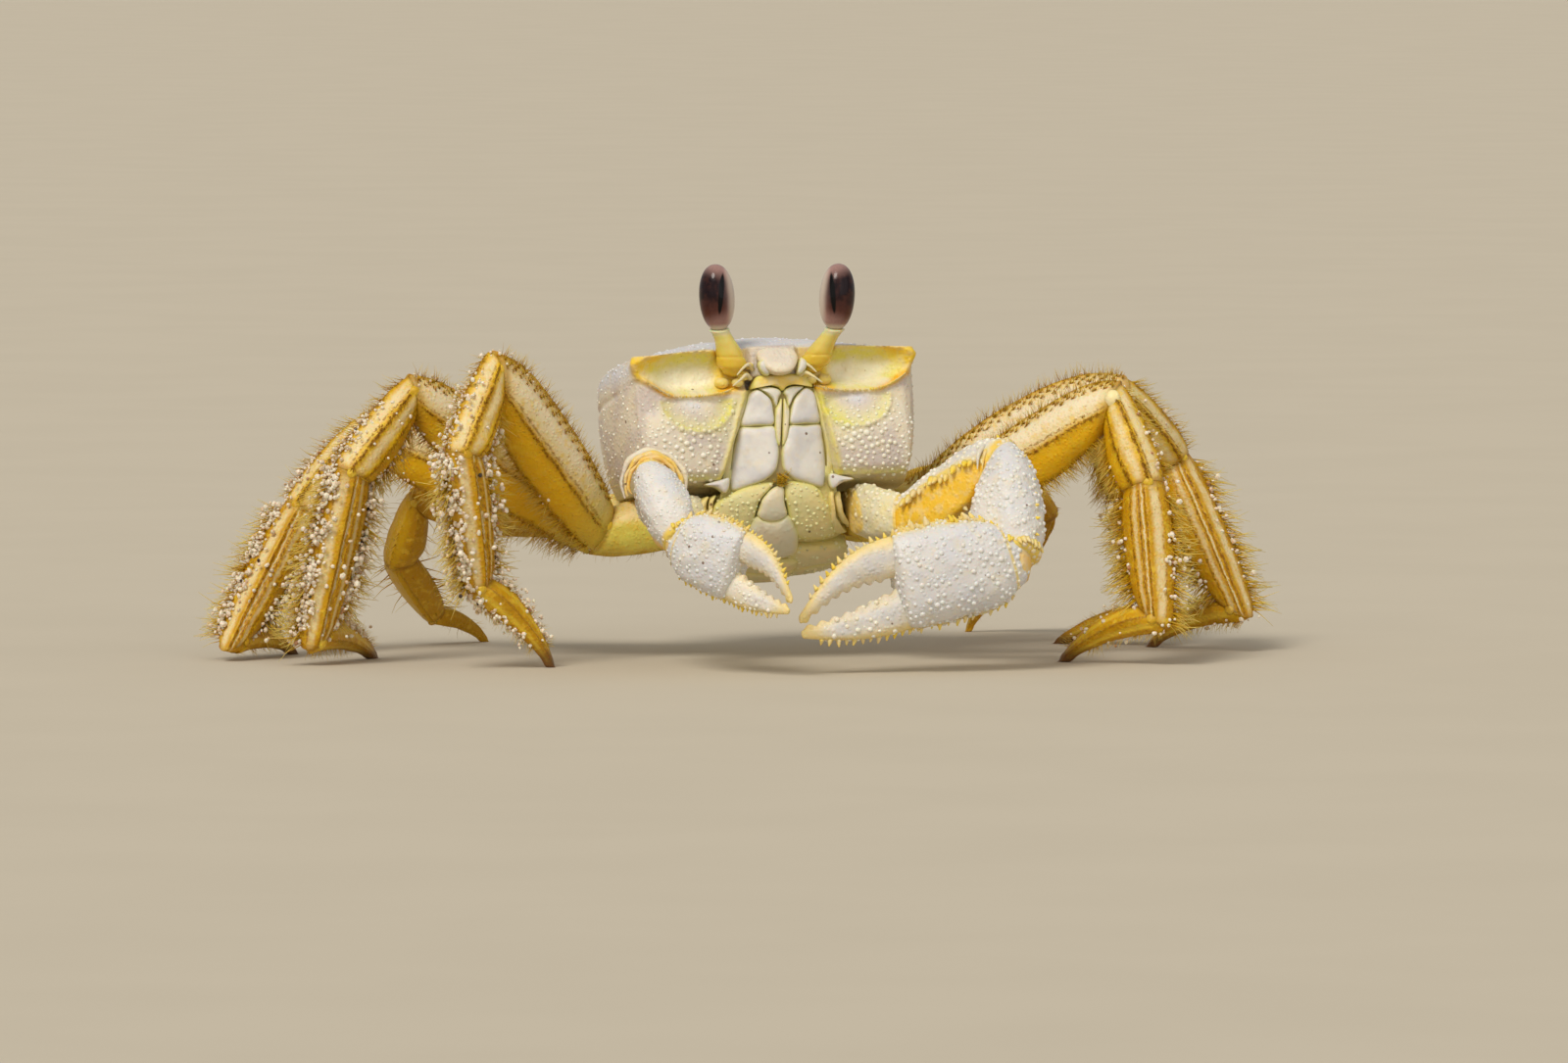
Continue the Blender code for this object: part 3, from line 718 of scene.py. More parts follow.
@dataclass(frozen=True)
class LimbFinish:
    """A limb's ground colour and its long stripes."""

    name: str
    ground: Colour
    bands: tuple[Band, ...]
    tip_dark: float = 0.0
    root_lime: float = 0.0
    relief_mm: float = 0.12

    def make(self) -> Material:
        """Make the material.

        Returns:
            The material.
        """
        graph = Graph(self.name, self.ground)
        split = graph.node("ShaderNodeSeparateXYZ", None, {
            0: graph.node("ShaderNodeUVMap", {"uv_map": "Pattern"}).outputs[0]})
        along, around = Reading(graph, split.outputs["X"]), Reading(graph, split.outputs["Y"])
        fine, patch = graph.noise(0.5, 4.0, 0.65), graph.noise(1.1, 4.0, 0.6)
        wander = (graph.noise(4.0, 2.0) - 0.5) * 0.040 + (graph.noise(0.6, 2.0) - 0.5) * 0.030
        graph.lay(graph.noise(3.5, 3.0).ease(0.38, 0.62) * 0.8, PALETTE.amber)
        graph.lay(patch.ease(0.50, 0.70) * 0.5, PALETTE.gold)
        middle = along.ease(0.0, 0.10) * along.ease(1.0, 0.90) * 0.6 + 0.4
        for band in self.bands:
            offset = graph.math("WRAP", around + wander - band.angle / 360.0, 0.5, -0.5)
            outer, inner = (band.half + band.soft) / 360.0, max(band.half - band.soft, 0.0) / 360.0
            cover = graph.math("ABSOLUTE", offset).ease(outer, inner) * band.amount
            if band.break_up:
                cover = cover * (1.0 - graph.noise(0.75, 2.0).ease(0.46, 0.54) * band.break_up)
            if band.half > 8:
                cover = cover * middle * (1.0 - patch.ease(0.48, 0.66) * 0.55)
            graph.lay(cover, band.colour)
        graph.lay(graph.cells(0.8).ease(0.20, 0.08) * graph.noise(2.2).ease(0.44, 0.60) * 0.6, PALETTE.brown)
        graph.lay(fine.ease(0.52, 0.80) * 0.15, PALETTE.cream)
        graph.lay((along.ease(0.95, 1.0) + along.ease(0.04, 0.0)) * 0.55, PALETTE.brown)
        if self.root_lime:
            graph.lay(along.ease(0.38, 0.02) * self.root_lime, tint(214, 192, 74))
        if self.tip_dark:
            graph.lay(along.ease(1.0 - self.tip_dark, 1.0), PALETTE.tip)
        relief = fine * 0.6 + (1.0 - graph.cells(0.55).ease(0.05, 0.55)) * 0.5
        return graph.finish(fine * 0.25 + 0.27, relief, self.relief_mm, Subsurface_Weight=0.25,
                            Subsurface_Scale=0.0014, Specular_IOR_Level=0.30)


@dataclass(frozen=True)
class CorneaFinish:
    """The glossy eye: plum brown in the middle, pinkish grey above and below, with a black slit."""

    plum: Colour = tint(27, 12, 17)
    rust: Colour = tint(92, 52, 42)
    blush: Colour = tint(176, 138, 130)
    pale: Colour = tint(206, 192, 176)
    slit: Colour = tint(4, 3, 4)

    def make(self) -> Material:
        """Make the material.

        Returns:
            The material.
        """
        graph = Graph("eye_cornea", self.plum)
        grain = graph.noise(0.28, 2.0)
        graph.lay(graph.noise(1.2, 3.0).ease(0.40, 0.7) * 0.35, self.rust)
        graph.lay(graph.mask("rust") * (grain * 0.5 + 0.6), self.rust)
        graph.lay(graph.mask("blush") * (grain * 0.4 + 0.75), self.blush)
        graph.lay(graph.mask("pale"), self.pale)
        graph.lay(graph.mask("slit"), self.slit)
        return graph.finish(0.18, 1.0 - graph.cells(0.11, 0.2).ease(0.1, 0.6), 0.004, Coat_Weight=0.22,
                            Coat_Roughness=0.05, Specular_IOR_Level=0.10)


@dataclass(frozen=True)
class StalkFinish:
    """The eyestalk: translucent yellow skin, clearer and paler towards the eye."""

    low: Colour = tint(220, 186, 52)
    high: Colour = tint(214, 198, 104)
    clear: Colour = tint(204, 208, 176)

    def make(self) -> Material:
        """Make the material.

        Returns:
            The material.
        """
        graph = Graph("eyestalk_skin", self.low)
        fine = graph.noise(0.6, 3.0)
        graph.lay(graph.mask("rise").ease(0.15, 0.75), self.high)
        graph.lay(graph.mask("rise").ease(0.80, 1.0) * 0.8, self.clear)
        graph.lay(graph.noise(2.0).ease(0.48, 0.66) * 0.45, self.low)
        return graph.finish(fine * 0.15 + 0.16, fine, 0.03, Subsurface_Weight=0.5, Subsurface_Scale=0.0018,
                            Specular_IOR_Level=0.5, Coat_Weight=0.2)


@dataclass(frozen=True)
class SetaFinish:
    """Bristles, golden brown at the root and pale at the tip, by the tone of each."""

    name: str
    root: Colour
    end: Colour

    def make(self) -> Material:
        """Make the material.

        Returns:
            The material.
        """
        graph = Graph(self.name, self.root)
        graph.lay(graph.mask("reach").ease(0.0, 0.9), self.end)
        graph.lay(graph.mask("tone"), PALETTE.brown)
        return graph.finish(0.42, Subsurface_Weight=0.2, Subsurface_Scale=0.0005, Specular_IOR_Level=0.25)


@dataclass(frozen=True)
class SandFinish:
    """Quartz and shell sand: each grain has its own tone."""

    pale: Colour = tint(234, 222, 200)
    beige: Colour = tint(208, 186, 154)
    rust: Colour = tint(176, 128, 84)
    dark: Colour = tint(62, 46, 36)

    def make(self) -> Material:
        """Make the material.

        Returns:
            The material.
        """
        graph = Graph("clinging_sand", self.pale)
        tone = graph.mask("tone")
        for low, high, hue in ((0.55, 0.90, self.beige), (0.95, 0.97, self.rust), (0.986, 0.990, self.dark)):
            graph.lay(tone.ease(low, high), hue)
        return graph.finish(graph.noise(0.2) * 0.4 + 0.20, graph.noise(0.15), 0.02, Subsurface_Weight=0.2,
                            Subsurface_Scale=0.0004)


# ---------------------------------------------------------------- repeated small bodies


class Recipe(NodeKit):
    """A Geometry Nodes tree with named inputs, run on a carrier mesh."""

    def __init__(self, name: str, material: Material) -> None:
        """Start a tree that will set one material.

        Args:
            name: The tree's name.
            material: What its bodies are made of.
        """
        super().__init__(bpy.data.node_groups.new(name, "GeometryNodeTree"))
        self.material = material
        for way in ("INPUT", "OUTPUT"):
            self.tree.interface.new_socket("Geometry", in_out=way, socket_type="NodeSocketGeometry")
        self.keys: dict[str, str] = {}
        self.start, self.end = self.node("NodeGroupInput"), self.node("NodeGroupOutput")

    def number(self, label: str, kind: str = "NodeSocketFloat") -> Socket:
        """Add a named input and give its socket."""
        self.keys[label] = self.tree.interface.new_socket(label, in_out="INPUT", socket_type=kind).identifier
        return self.start.outputs[label]

    def out(self, kind: str, settings: dict | None = None, sockets: dict | None = None) -> Socket:
        """Make one node and give its first output."""
        return self.node(kind, settings, sockets).outputs[0]

    def random(self, low: float, high: float, seed: int) -> Reading:
        """Give a random number for each point."""
        return self.reading("FunctionNodeRandomValue", {"data_type": "FLOAT"}, {2: low, 3: high, "Seed": seed}, 1)

    def random_vector(self, low: Place, high: Place, seed: int) -> Socket:
        """Give a random vector for each point."""
        return self.out("FunctionNodeRandomValue", {"data_type": "FLOAT_VECTOR"}, {0: low, 1: high, "Seed": seed})

    def scale(self, vector: Socket, share: Socket | Reading) -> Socket:
        """Scale a vector."""
        return self.out("ShaderNodeVectorMath", {"operation": "SCALE"}, {0: vector, "Scale": share})

    def store(self, geometry: Socket, label: str, value: Socket | Reading, flat: bool = False) -> Socket:
        """Write a named attribute.

        Args:
            geometry: The bodies.
            label: The attribute's name.
            value: Its value.
            flat: Whether it is two flat numbers for each corner, not one for each point.

        Returns:
            The bodies with it.
        """
        kind = {"data_type": "FLOAT2", "domain": "CORNER"} if flat else {"data_type": "FLOAT", "domain": "POINT"}
        sockets = {"Geometry": geometry, "Name": label, "Value": value}
        return self.out("GeometryNodeStoreNamedAttribute", kind, sockets)

    def named(self, label: str, kind: str = "FLOAT") -> Reading:
        """Read a named attribute."""
        return self.reading("GeometryNodeInputNamedAttribute", {"data_type": kind}, {"Name": label})

    def close(self, instances: Socket) -> Socket:
        """Realize the instances and give them the material."""
        real = self.out("GeometryNodeRealizeInstances", None, {"Geometry": instances})
        return self.out("GeometryNodeSetMaterial", None, {"Geometry": real, "Material": self.material})

    def run(self, piece: str, carrier: Object, values: dict[str, float]) -> Object:
        """Grow the small bodies of a carrier into a plain mesh.

        Args:
            piece: The new piece's name.
            carrier: The object whose mesh carries them. It is left as it was.
            values: The tree's inputs, by name.

        Returns:
            The new object.
        """
        modifier = carrier.modifiers.new(self.tree.name, "NODES")
        modifier.node_group = self.tree
        for label, value in values.items():
            modifier[self.keys[label]] = value
        mesh = bpy.data.meshes.new_from_object(carrier.evaluated_get(bpy.context.evaluated_depsgraph_get()))
        carrier.modifiers.remove(modifier)
        mesh.name = piece
        for spare in {"aim", "size", "root_at", "strand_at"} & set(mesh.attributes.keys()):
            mesh.attributes.remove(mesh.attributes[spare])
        return show(piece, mesh)


class Grain(Enum):
    """The small body that is scattered."""

    GRANULE = "round shell granule"
    SAND = "angular grain of sand"


@dataclass(frozen=True)
class Coat:
    """How small bodies lie on a surface: their least distance, radii, most on a square mm, and lift off it."""

    spacing: float
    smallest: float
    largest: float
    density: float
    lift: float = 0.0

    def scaled(self, scale: float) -> "Coat":
        """Scale its lengths."""
        return replace(self, spacing=self.spacing * scale, smallest=self.smallest * scale,
                       largest=self.largest * scale, lift=self.lift * scale)


class Scatter(Recipe):
    """Scatters small bodies over a carrier where its "grain" mask is painted."""

    def __init__(self, name: str, material: Material, grain: Grain) -> None:
        """Build the tree.

        Args:
            name: The tree's name.
            material: What the bodies are made of.
            grain: The body.
        """
        super().__init__(name, material)
        spacing, density, small, large, lift = map(self.number, ("Spacing", "Density", "Smallest", "Largest", "Lift"))
        points = self.node("GeometryNodeDistributePointsOnFaces", {"distribute_method": "POISSON"}, {
            "Mesh": self.start.outputs["Geometry"], "Distance Min": spacing, "Density Max": density,
            "Density Factor": self.named("grain"), "Seed": self.number("Seed", "NodeSocketInt")})
        keep = 1.0 - self.named("small") * 0.55
        share = keep * self.random(0.0, 1.0, 5)
        rise = self.scale(points.outputs["Normal"], share * share * lift)
        moved = self.out("GeometryNodeSetPosition", None, {"Geometry": points.outputs["Points"], "Offset": rise})
        toned = self.store(moved, "tone", self.random(0.0, 1.0, 7))
        if grain is Grain.GRANULE:
            body = self.out("GeometryNodeMeshUVSphere", None, {"Segments": 7, "Rings": 5, "Radius": 1.0})
            body = self.out("GeometryNodeTransform", None, {
                "Geometry": body, "Translation": (0.0, 0.0, -0.15), "Scale": (1.0, 1.0, 0.85)})
            turn = points.outputs["Rotation"]
            stretch = self.random_vector((0.9, 0.9, 0.8), (1.1, 1.1, 1.15), 9)
        else:
            body = self.out("GeometryNodeMeshIcoSphere", None, {"Radius": 1.0, "Subdivisions": 1})
            turn = self.random_vector((0.0, 0.0, 0.0), (6.28, 6.28, 6.28), 11)
            stretch = self.random_vector((0.6, 0.6, 0.6), (1.2, 1.1, 1.0), 9)
        body = self.out("GeometryNodeSetShadeSmooth", None, {
            "Geometry": body, "Shade Smooth": grain is Grain.GRANULE})
        placed = self.out("GeometryNodeInstanceOnPoints", None, {
            "Points": toned, "Instance": body, "Rotation": turn,
            "Scale": self.scale(stretch, self.random(small, large, 3) * keep)})
        self.feed(self.end.inputs[0], self.close(placed))

    def grow(self, piece: str, carrier: Object, coat: Coat, seed: int = SEED) -> Object:
        """Scatter a coat of bodies over a painted mesh, under the new piece's name."""
        return self.run(piece, carrier, {
            "Spacing": coat.spacing * MM, "Density": coat.density / MM / MM, "Smallest": coat.smallest * MM,
            "Largest": coat.largest * MM, "Lift": coat.lift * MM, "Seed": seed})


@dataclass
class Row:
    """Roots of bristles or spines, with the way each points, its length, tone and map place."""

    roots: Array
    aims: Array
    sizes: Array
    tones: Array | float = 0.0
    map: Array | float = 0.0


@dataclass(frozen=True)
class Strand:
    """The body that is planted: a tapering bristle or spine."""

    sides: int
    segments: int
    slender: float
    bend: float
    baked: bool = True


class Plant(Recipe):
    """Plants tapering bristles or spines on prepared points, each along its own aim."""

    def __init__(self, name: str, material: Material, strand: Strand) -> None:
        """Build the tree.

        Args:
            name: The tree's name.
            material: What the bodies are made of.
            strand: The body, whose radius and bend are for a length of 1.
        """
        super().__init__(name, material)
        patch = self.number("Patch")
        cone = self.node("GeometryNodeMeshCone", {"fill_type": "NGON"}, {
            "Vertices": strand.sides, "Side Segments": strand.segments, "Radius Top": strand.slender * 0.22,
            "Radius Bottom": strand.slender, "Depth": 1.0})
        height = self.reading("ShaderNodeSeparateXYZ", None, {0: self.out("GeometryNodeInputPosition")}, "Z")
        body = self.store(cone.outputs["Mesh"], "reach", height)
        body = self.store(body, "strand_at", cone.outputs["UV Map"], flat=True)
        offset = self.out("ShaderNodeCombineXYZ", None, {"X": height * height * strand.bend})
        body = self.out("GeometryNodeSetPosition", None, {"Geometry": body, "Offset": offset})
        body = self.out("GeometryNodeSetShadeSmooth", None, {"Geometry": body})
        turn = self.out("FunctionNodeAlignRotationToVector", {"axis": "Z"}, {
            "Vector": self.named("aim", "FLOAT_VECTOR")})
        spin = self.out("ShaderNodeCombineXYZ", None, {"Z": self.random(0.0, 6.28, 5)})
        turn = self.out("FunctionNodeRotateRotation", {"rotation_space": "LOCAL"}, {
            "Rotation": turn, "Rotate By": spin})
        real = self.close(self.out("GeometryNodeInstanceOnPoints", None, {
            "Points": self.start.outputs["Geometry"], "Instance": body, "Rotation": turn,
            "Scale": self.named("size")}))
        if strand.baked:
            spot = self.out("ShaderNodeVectorMath", {"operation": "ADD"}, {
                0: self.named("root_at", "FLOAT_VECTOR"),
                1: self.scale(self.named("strand_at", "FLOAT_VECTOR"), patch)})
            real = self.store(real, "OFBake", spot, flat=True)
        self.feed(self.end.inputs[0], real)

    def grow(self, piece: str, rows: list[Row]) -> Object:
        """Plant every row of roots.

        Args:
            piece: The new piece's name.
            rows: The roots with their aims, sizes and tones.

        Returns:
            The new object.
        """
        mesh = bpy.data.meshes.new(f"{piece}_roots")
        mesh.from_pydata(ANCHOR.world(np.concatenate([row.roots for row in rows])).tolist(), [], [])
        for label, kind, wide, values in (
                ("aim", "FLOAT_VECTOR", 3, [unit(row.aims) for row in rows]),
                ("size", "FLOAT", 1, [row.sizes * MM for row in rows]),
                ("tone", "FLOAT", 1, [row.tones for row in rows]),
                ("root_at", "FLOAT_VECTOR", 3, [row.map for row in rows])):
            full = [np.broadcast_to(value, (len(row.roots), 3)[:1 + wide // 3]) for value, row in zip(values, rows)]
            layer = mesh.attributes.new(label, kind, "POINT").data
            layer.foreach_set("value" if wide == 1 else "vector", np.concatenate(full).astype(np.float32).ravel())
        carrier = show(mesh.name, mesh)
        grown = self.run(piece, carrier, {"Patch": 3 * MM})
        bpy.data.objects.remove(carrier)
        return grown


# ---------------------------------------------------------------- handing over


def hand_over(piece: Object, slot: str, *nodes: str) -> None:
    """Tie a finished piece to the frame and report it.

    Args:
        piece: The finished piece.
        slot: The record's material slot. Not used.
        *nodes: The frame's nodes that it stands for.
    """
    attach(piece, "root")
    if nodes:
        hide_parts(*nodes)
    LOG.info("%s: %d faces", piece.name, len(piece.data.polygons))


# ---------------------------------------------------------------- carapace


def mouth_axis(z: Array) -> Array:
    """Give where the mouth's axis lies at a height: it leans with the crab's twist."""
    return np.clip(0.15 + 0.10 * (np.asarray(z, float) + 14.0), -0.3, 1.0)


@dataclass
class Carapace:
    """The box-shaped shell with its face: orbits, brow, cheeks and mouth field."""

    finish: Material
    granules: Scatter
    coat: Coat = Coat(0.72, 0.25, 0.48, 3.2)
    half_width: Table = (
        (0.0, 19.1), (3.0, 20.1), (8.0, 20.9), (14.0, 21.2), (21.0, 19.9), (28.0, 16.2), (34.0, 10.8))
    crown: Table = ((0.0, 1.6), (4.0, 2.7), (9.0, 3.8), (15.0, 4.3), (22.0, 3.6), (29.0, 1.6), (34.0, -1.4))
    shoulder: Table = ((0.0, 0.8), (8.0, 0.2), (16.0, -0.8), (24.0, -2.0), (30.0, -3.4), (34.0, -4.4))
    under: Table = ((0.0, -16.4), (4.0, -17.2), (18.0, -17.2), (26.0, -14.6), (34.0, -10.5))
    wall: Table = ((0.0, 1.0), (0.12, 1.012), (0.5, 1.01), (0.8, 0.975), (1.0, 0.92))
    front: float = 0.2
    back: float = 34.0
    columns: int = 172
    rows: int = 80
    rings: int = 84
    orbit: tuple[float, float] = (11.9, -1.7)
    orbit_radii: tuple[float, float] = (7.05, 2.95)
    orbit_power: float = 2.5
    orbit_depth: float = 2.0
    mouth_depth: float = 3.1
    corner_cuts: tuple[float, float] = (0.42, 0.20)
    oval: tuple[float, float, float, float] = (11.2, -5.4, 5.2, 4.5)
    tooth_root: Place = (19.0, 0.3, 0.1)
    tooth_tip: Place = (20.1, -0.5, 0.3)

    def ring_flat(self, back: Array) -> Array:
        """Give the shell's sections: dome, side wall, underside, side wall.

        Args:
            back: Their distances from the front.

        Returns:
            The places, section by section.
        """
        half, crown, shoulder, under = (
            read(table, back)[:, None] for table in (self.half_width, self.crown, self.shoulder, self.under))
        across = np.linspace(-1, 1, self.columns + 1)[None, :-1]
        depth = np.linspace(0, 1, self.rows + 1)[None, :-1]
        sides = ((half * across, shoulder + (crown - shoulder) * (1 - np.abs(across) ** 2.2)),
                 (half * read(self.wall, depth), shoulder + (under - shoulder) * depth),
                 (-half * across * self.wall[-1][1], under + 0 * across),
                 (-half * read(self.wall, 1 - depth), under + (shoulder - under) * depth))
        x, z = (np.concatenate(parts, 1) for parts in zip(*sides))
        return stack(x, back[:, None], z)

    def from_mouth(self, x: Array, z: Array) -> Array:
        """Give how far places lie outside the mouth field, whose axis leans a little."""
        return np.abs(x - mouth_axis(z)) - (4.75 + 0.275 * np.clip(-z - 4.2, 0, 12.5))

    def orbit_reach(self, x: Array, z: Array) -> Array:
        """Give 0 at the orbit's middle and 1 on its rim, whose lower outer corner is cut off.

        Args:
            x: Places across the face.
            z: Their heights.

        Returns:
            The reaches.
        """
        across, power = np.abs(x), self.orbit_power
        cut = np.where(x < 0, *self.corner_cuts) * ease(14.0, 19.0, across) * ease(-1.4, -4.4, z)
        return cut + (np.abs((across - self.orbit[0]) / self.orbit_radii[0]) ** power
                      + np.abs((z - self.orbit[1]) / self.orbit_radii[1]) ** power) ** (1 / power)

    def oval_reach(self, across: Array, z: Array) -> Array:
        """Give 1 on the granular border of the field below the orbit."""
        x, y, wide, high = self.oval
        return np.hypot((across - x) / wide, (z - y) / high)

    def face(self, x: Array, z: Array) -> Array:
        """Give how far back the face lies.

        Args:
            x: Places across the face.
            z: Their heights.

        Returns:
            The distances back.
        """
        across = np.abs(x)
        reach, oval, outside = self.orbit_reach(x, z), self.oval_reach(across, z), self.from_mouth(x, z)
        y = self.front + 0.9 * ease(17.6, 19.6, across) ** 2 + 0.7 * ease(-15.0, -16.9, z)
        y -= 1.5 * clamp(1 - ((across - 12.6) / 8.2) ** 2 - ((z + 11.6) / 6.4) ** 2) ** 0.75
        below = ease(-4.9, -5.7, z)
        y += 0.40 * (1 - ease(0.72, 1.0, oval)) * below
        y -= (0.22 + 0.06 * np.sin(across * 9.0)) * hump(oval - 1.0, 0.05) * below
        thick = 0.55 + 0.45 * np.maximum(ease(14.0, 17.0, across), ease(8.5, 6.2, across))
        wave = 0.025 * np.sin(across * 3.1) + 0.02 * np.sin(across * 7.3 + 1.0)
        rim = thick * hump(reach - 1.06 + wave, 0.085 * thick)
        y -= 0.70 * rim * ease(3.2, 4.6, across) + ease(0.5, 1.1, z) * 0.30 * ease(3.2, 5.0, across)
        bowl = 1 - ease(0.36, 1.04, reach)
        y += self.orbit_depth * bowl
        notch = ease(3.0, 3.8, across) * ease(9.0, 7.4, across) * ease(-4.6, -3.4, z)
        y = y + (np.maximum(y, 1.4) - y) * notch
        y += 0.35 * notch * bowl + 0.17 * ripple(stack(x, 0.0, z), 2.2, 23) * bowl
        y = y + (self.mouth_depth - y) * (ease(-2.2, -3.0, z) * ease(0.25, -0.35, outside))
        return y - 0.30 * hump(outside - 0.5, 0.35) * ease(-4.6, -5.6, z)

    def paint(self, x: Array, z: Array) -> Masks:
        """Give the face's painted masks.

        Args:
            x: Places across the face.
            z: Their heights.

        Returns:
            The masks, by name.
        """
        across = np.abs(x)
        reach, oval, outside = self.orbit_reach(x, z), self.oval_reach(across, z), self.from_mouth(x, z)
        band, lower = hump(reach - 1.05, 0.10), ease(-2.2, -3.4, z)
        outer, inner = ease(13.5, 16.0, across), ease(9.2, 7.0, across) * ease(3.0, 4.2, across)
        inside = 1 - ease(0.94, 1.04, reach)
        side_line = hump(outside - 0.4, 0.5) * ease(-3.8, -4.8, z)
        # The orbit's upper inside (top) gets extra lime and gold. This is partly the shell's own yellow and partly
        # painted light: a glow through the ledge above, laid over the shade that ledge casts.
        below, top = ease(-4.9, -5.6, z), ease(-1.6, 0.4, z) * inside
        blot = ease(-0.35, 0.45, ripple(stack(x, 0.0, z), 3.4, 29))
        cheek = ease(-4.9, -5.9, z) * ease(0.7, 1.3, outside)
        lime = (inside * (0.10 + 0.62 * ease(0.35, 0.85, reach)) * (0.45 + 0.75 * blot) + 0.58 * top + below * (
            0.26 * hump(oval - 0.96, 0.15) + 0.40 * ease(0.35, 0.9, oval) * ease(1.02, 0.96, oval))
            + 0.60 * side_line + 0.65 * ease(-15.2, -16.3, z)
            + 0.30 * cheek * hump(outside - 1.5, 2.2) * ease(-14.0, -9.0, z))
        gold = (band * (0.75 - 0.15 * lower) + top * (0.05 + 0.55 * ease(14.0, 17.0, across))
                + 0.35 * inside * ease(16.0, 18.5, across) + inner * inside * 0.55 + inner * ease(-5.2, -4.2, z) * 0.5
                + 0.2 * side_line + hump(np.hypot(across - 19.4, z - 0.1), 1.4))
        small = (0.88 - hump(np.hypot((across - 12.6) / 5.4, (z + 12.2) / 3.8), 0.95) - 0.55 * hump(oval - 1.0, 0.08))
        masks = {
            "lime": lime, "gold": gold, "small": small, "speck": inside * 0.9 + 0.25 * cheek,
            "orange": 1.3 * hump(reach - 1.04, 0.12) * (lower * (outer + inner) + outer * 0.25) * (0.6 + 0.5 * blot),
            "grain": cheek * (0.55 + 0.45 * ease(-6.5, -9.5, z)) * ease(19.6, 18.8, across),
            "blue": hump(np.hypot((across - 11.4) / 1.5, (z + 5.9) / 0.9), 1.0),
            "milk": inside * (0.9 - 0.7 * ease(0.5, 1.0, reach)) * (1 - 0.6 * top)}
        return {name: clamp(value) for name, value in masks.items()}

    def borders(self, ring: Array) -> tuple[Array, ...]:
        """Split a closed ring into its upper, right, lower and left borders, from its top left corner."""
        ring, turn = np.concatenate((ring, ring[:1])), self.columns + self.rows
        return (ring[:self.columns + 1], ring[self.columns:turn + 1], ring[turn:turn + self.columns + 1][::-1],
                ring[turn + self.columns:][::-1])

    def cap_quads(self, offset: int, start: int) -> Array:
        """Give the quads of an end grid.

        Args:
            offset: The number of the first point of the ring that borders it.
            start: The number of the first point inside it.

        Returns:
            Rows of four point numbers.
        """
        grid = np.zeros((self.rows + 1, self.columns + 1), int)
        ring = offset + np.arange(2 * (self.columns + self.rows))
        grid[0], grid[:, -1], grid[-1], grid[:, 0] = self.borders(ring)
        grid[1:-1, 1:-1] = start + np.arange((self.rows - 1) * (self.columns - 1)).reshape(self.rows - 1, -1)
        return stack(grid[:-1, :-1], grid[:-1, 1:], grid[1:, 1:], grid[1:, :-1]).reshape(-1, 4)

    def cap_places(self, ring: Array) -> Array:
        """Fill the inside of a ring with a grid of places.

        Args:
            ring: The ring's places.

        Returns:
            The grid's places, row by row.
        """
        top, right, bottom, left = self.borders(ring)
        u = np.linspace(0, 1, self.columns + 1)[None, :, None]
        v = np.linspace(0, 1, self.rows + 1)[:, None, None]
        return ((1 - v) * top[None] + v * bottom[None] + (1 - u) * left[:, None] + u * right[:, None]
                - (1 - u) * (1 - v) * top[0] - u * (1 - v) * top[-1] - (1 - u) * v * bottom[0] - u * v * bottom[-1])

    def relief(self, points: Array) -> Array:
        """Press in the regions' grooves, leave the shell slightly uneven and draw out its two front teeth.

        Args:
            points: The shell's places.

        Returns:
            The moved places.
        """
        x, y, z = points.T
        across = np.abs(x)
        furrow = np.maximum(
            hump(across - 5.6 - 0.10 * (y - 14), 0.75) * ease(7.0, 10.0, y) * ease(25.0, 22.0, y),
            hump(y - 17.5 - 0.02 * x * x, 0.7) * ease(8.5, 6.5, across))
        flank = hump(z + 3.0 + 0.10 * y, 0.5) * ease(17.0, 19.0, across) * ease(3.0, 8.0, y) * 0.25
        dome = ease(-3.5, -0.5, z) * ease(4.0, 8.0, y)
        points = stack(x - np.sign(x) * flank, y, z - 0.42 * furrow * dome)
        points = points + (ripple(points, 7.0, 11) * 0.09)[:, None] * np.array((0.3, 1.0, 0.6))
        for side in (1, -1):
            root, tip = (np.array((side * p[0], *p[1:])) for p in (self.tooth_root, self.tooth_tip))
            points = points + hump(np.linalg.norm(points - root, axis=1), 1.5)[:, None] * (tip - root)
        return points

    def build(self) -> None:
        """Make and hand over the shell and its granules."""
        share = np.linspace(0, 1, self.rings) ** 1.25
        rings = self.ring_flat(self.front + (self.back - self.front) * share)
        total = rings.shape[1]
        front, rear = self.cap_places(rings[0]), self.cap_places(rings[-1])
        front[..., 1] = self.face(front[..., 0], front[..., 2])
        fade = np.exp(-((rings[:, :1, 1] - self.front) / 2.4) ** 2)
        rings[..., 1] += (self.face(rings[0][:, 0], rings[0][:, 2]) - self.front)[None] * fade
        rear[..., 1] += 0.5 * (1 - np.linspace(-1, 1, self.columns + 1)[None] ** 2)
        start, inner = self.rings * total, (self.rows - 1) * (self.columns - 1)
        points = np.concatenate([part.reshape(-1, 3) for part in (rings, front[1:-1, 1:-1], rear[1:-1, 1:-1])])
        quads = (ring_quads(self.rings, total), self.cap_quads(0, start)[:, ::-1],
                 self.cap_quads(start - total, start + inner))
        masks = self.masks(points, rings, front[1:-1, 1:-1])
        places = POSE.place(self.relief(points))
        form = Form()
        form.add(places, np.concatenate(quads), np.zeros((0, 3), int), masks=masks)
        piece = form.build("carapace_shell", self.finish)
        hand_over(piece, "carapace_shell", "carapace")
        hand_over(self.granules.grow("carapace_granules", piece, self.coat), "carapace_shell")

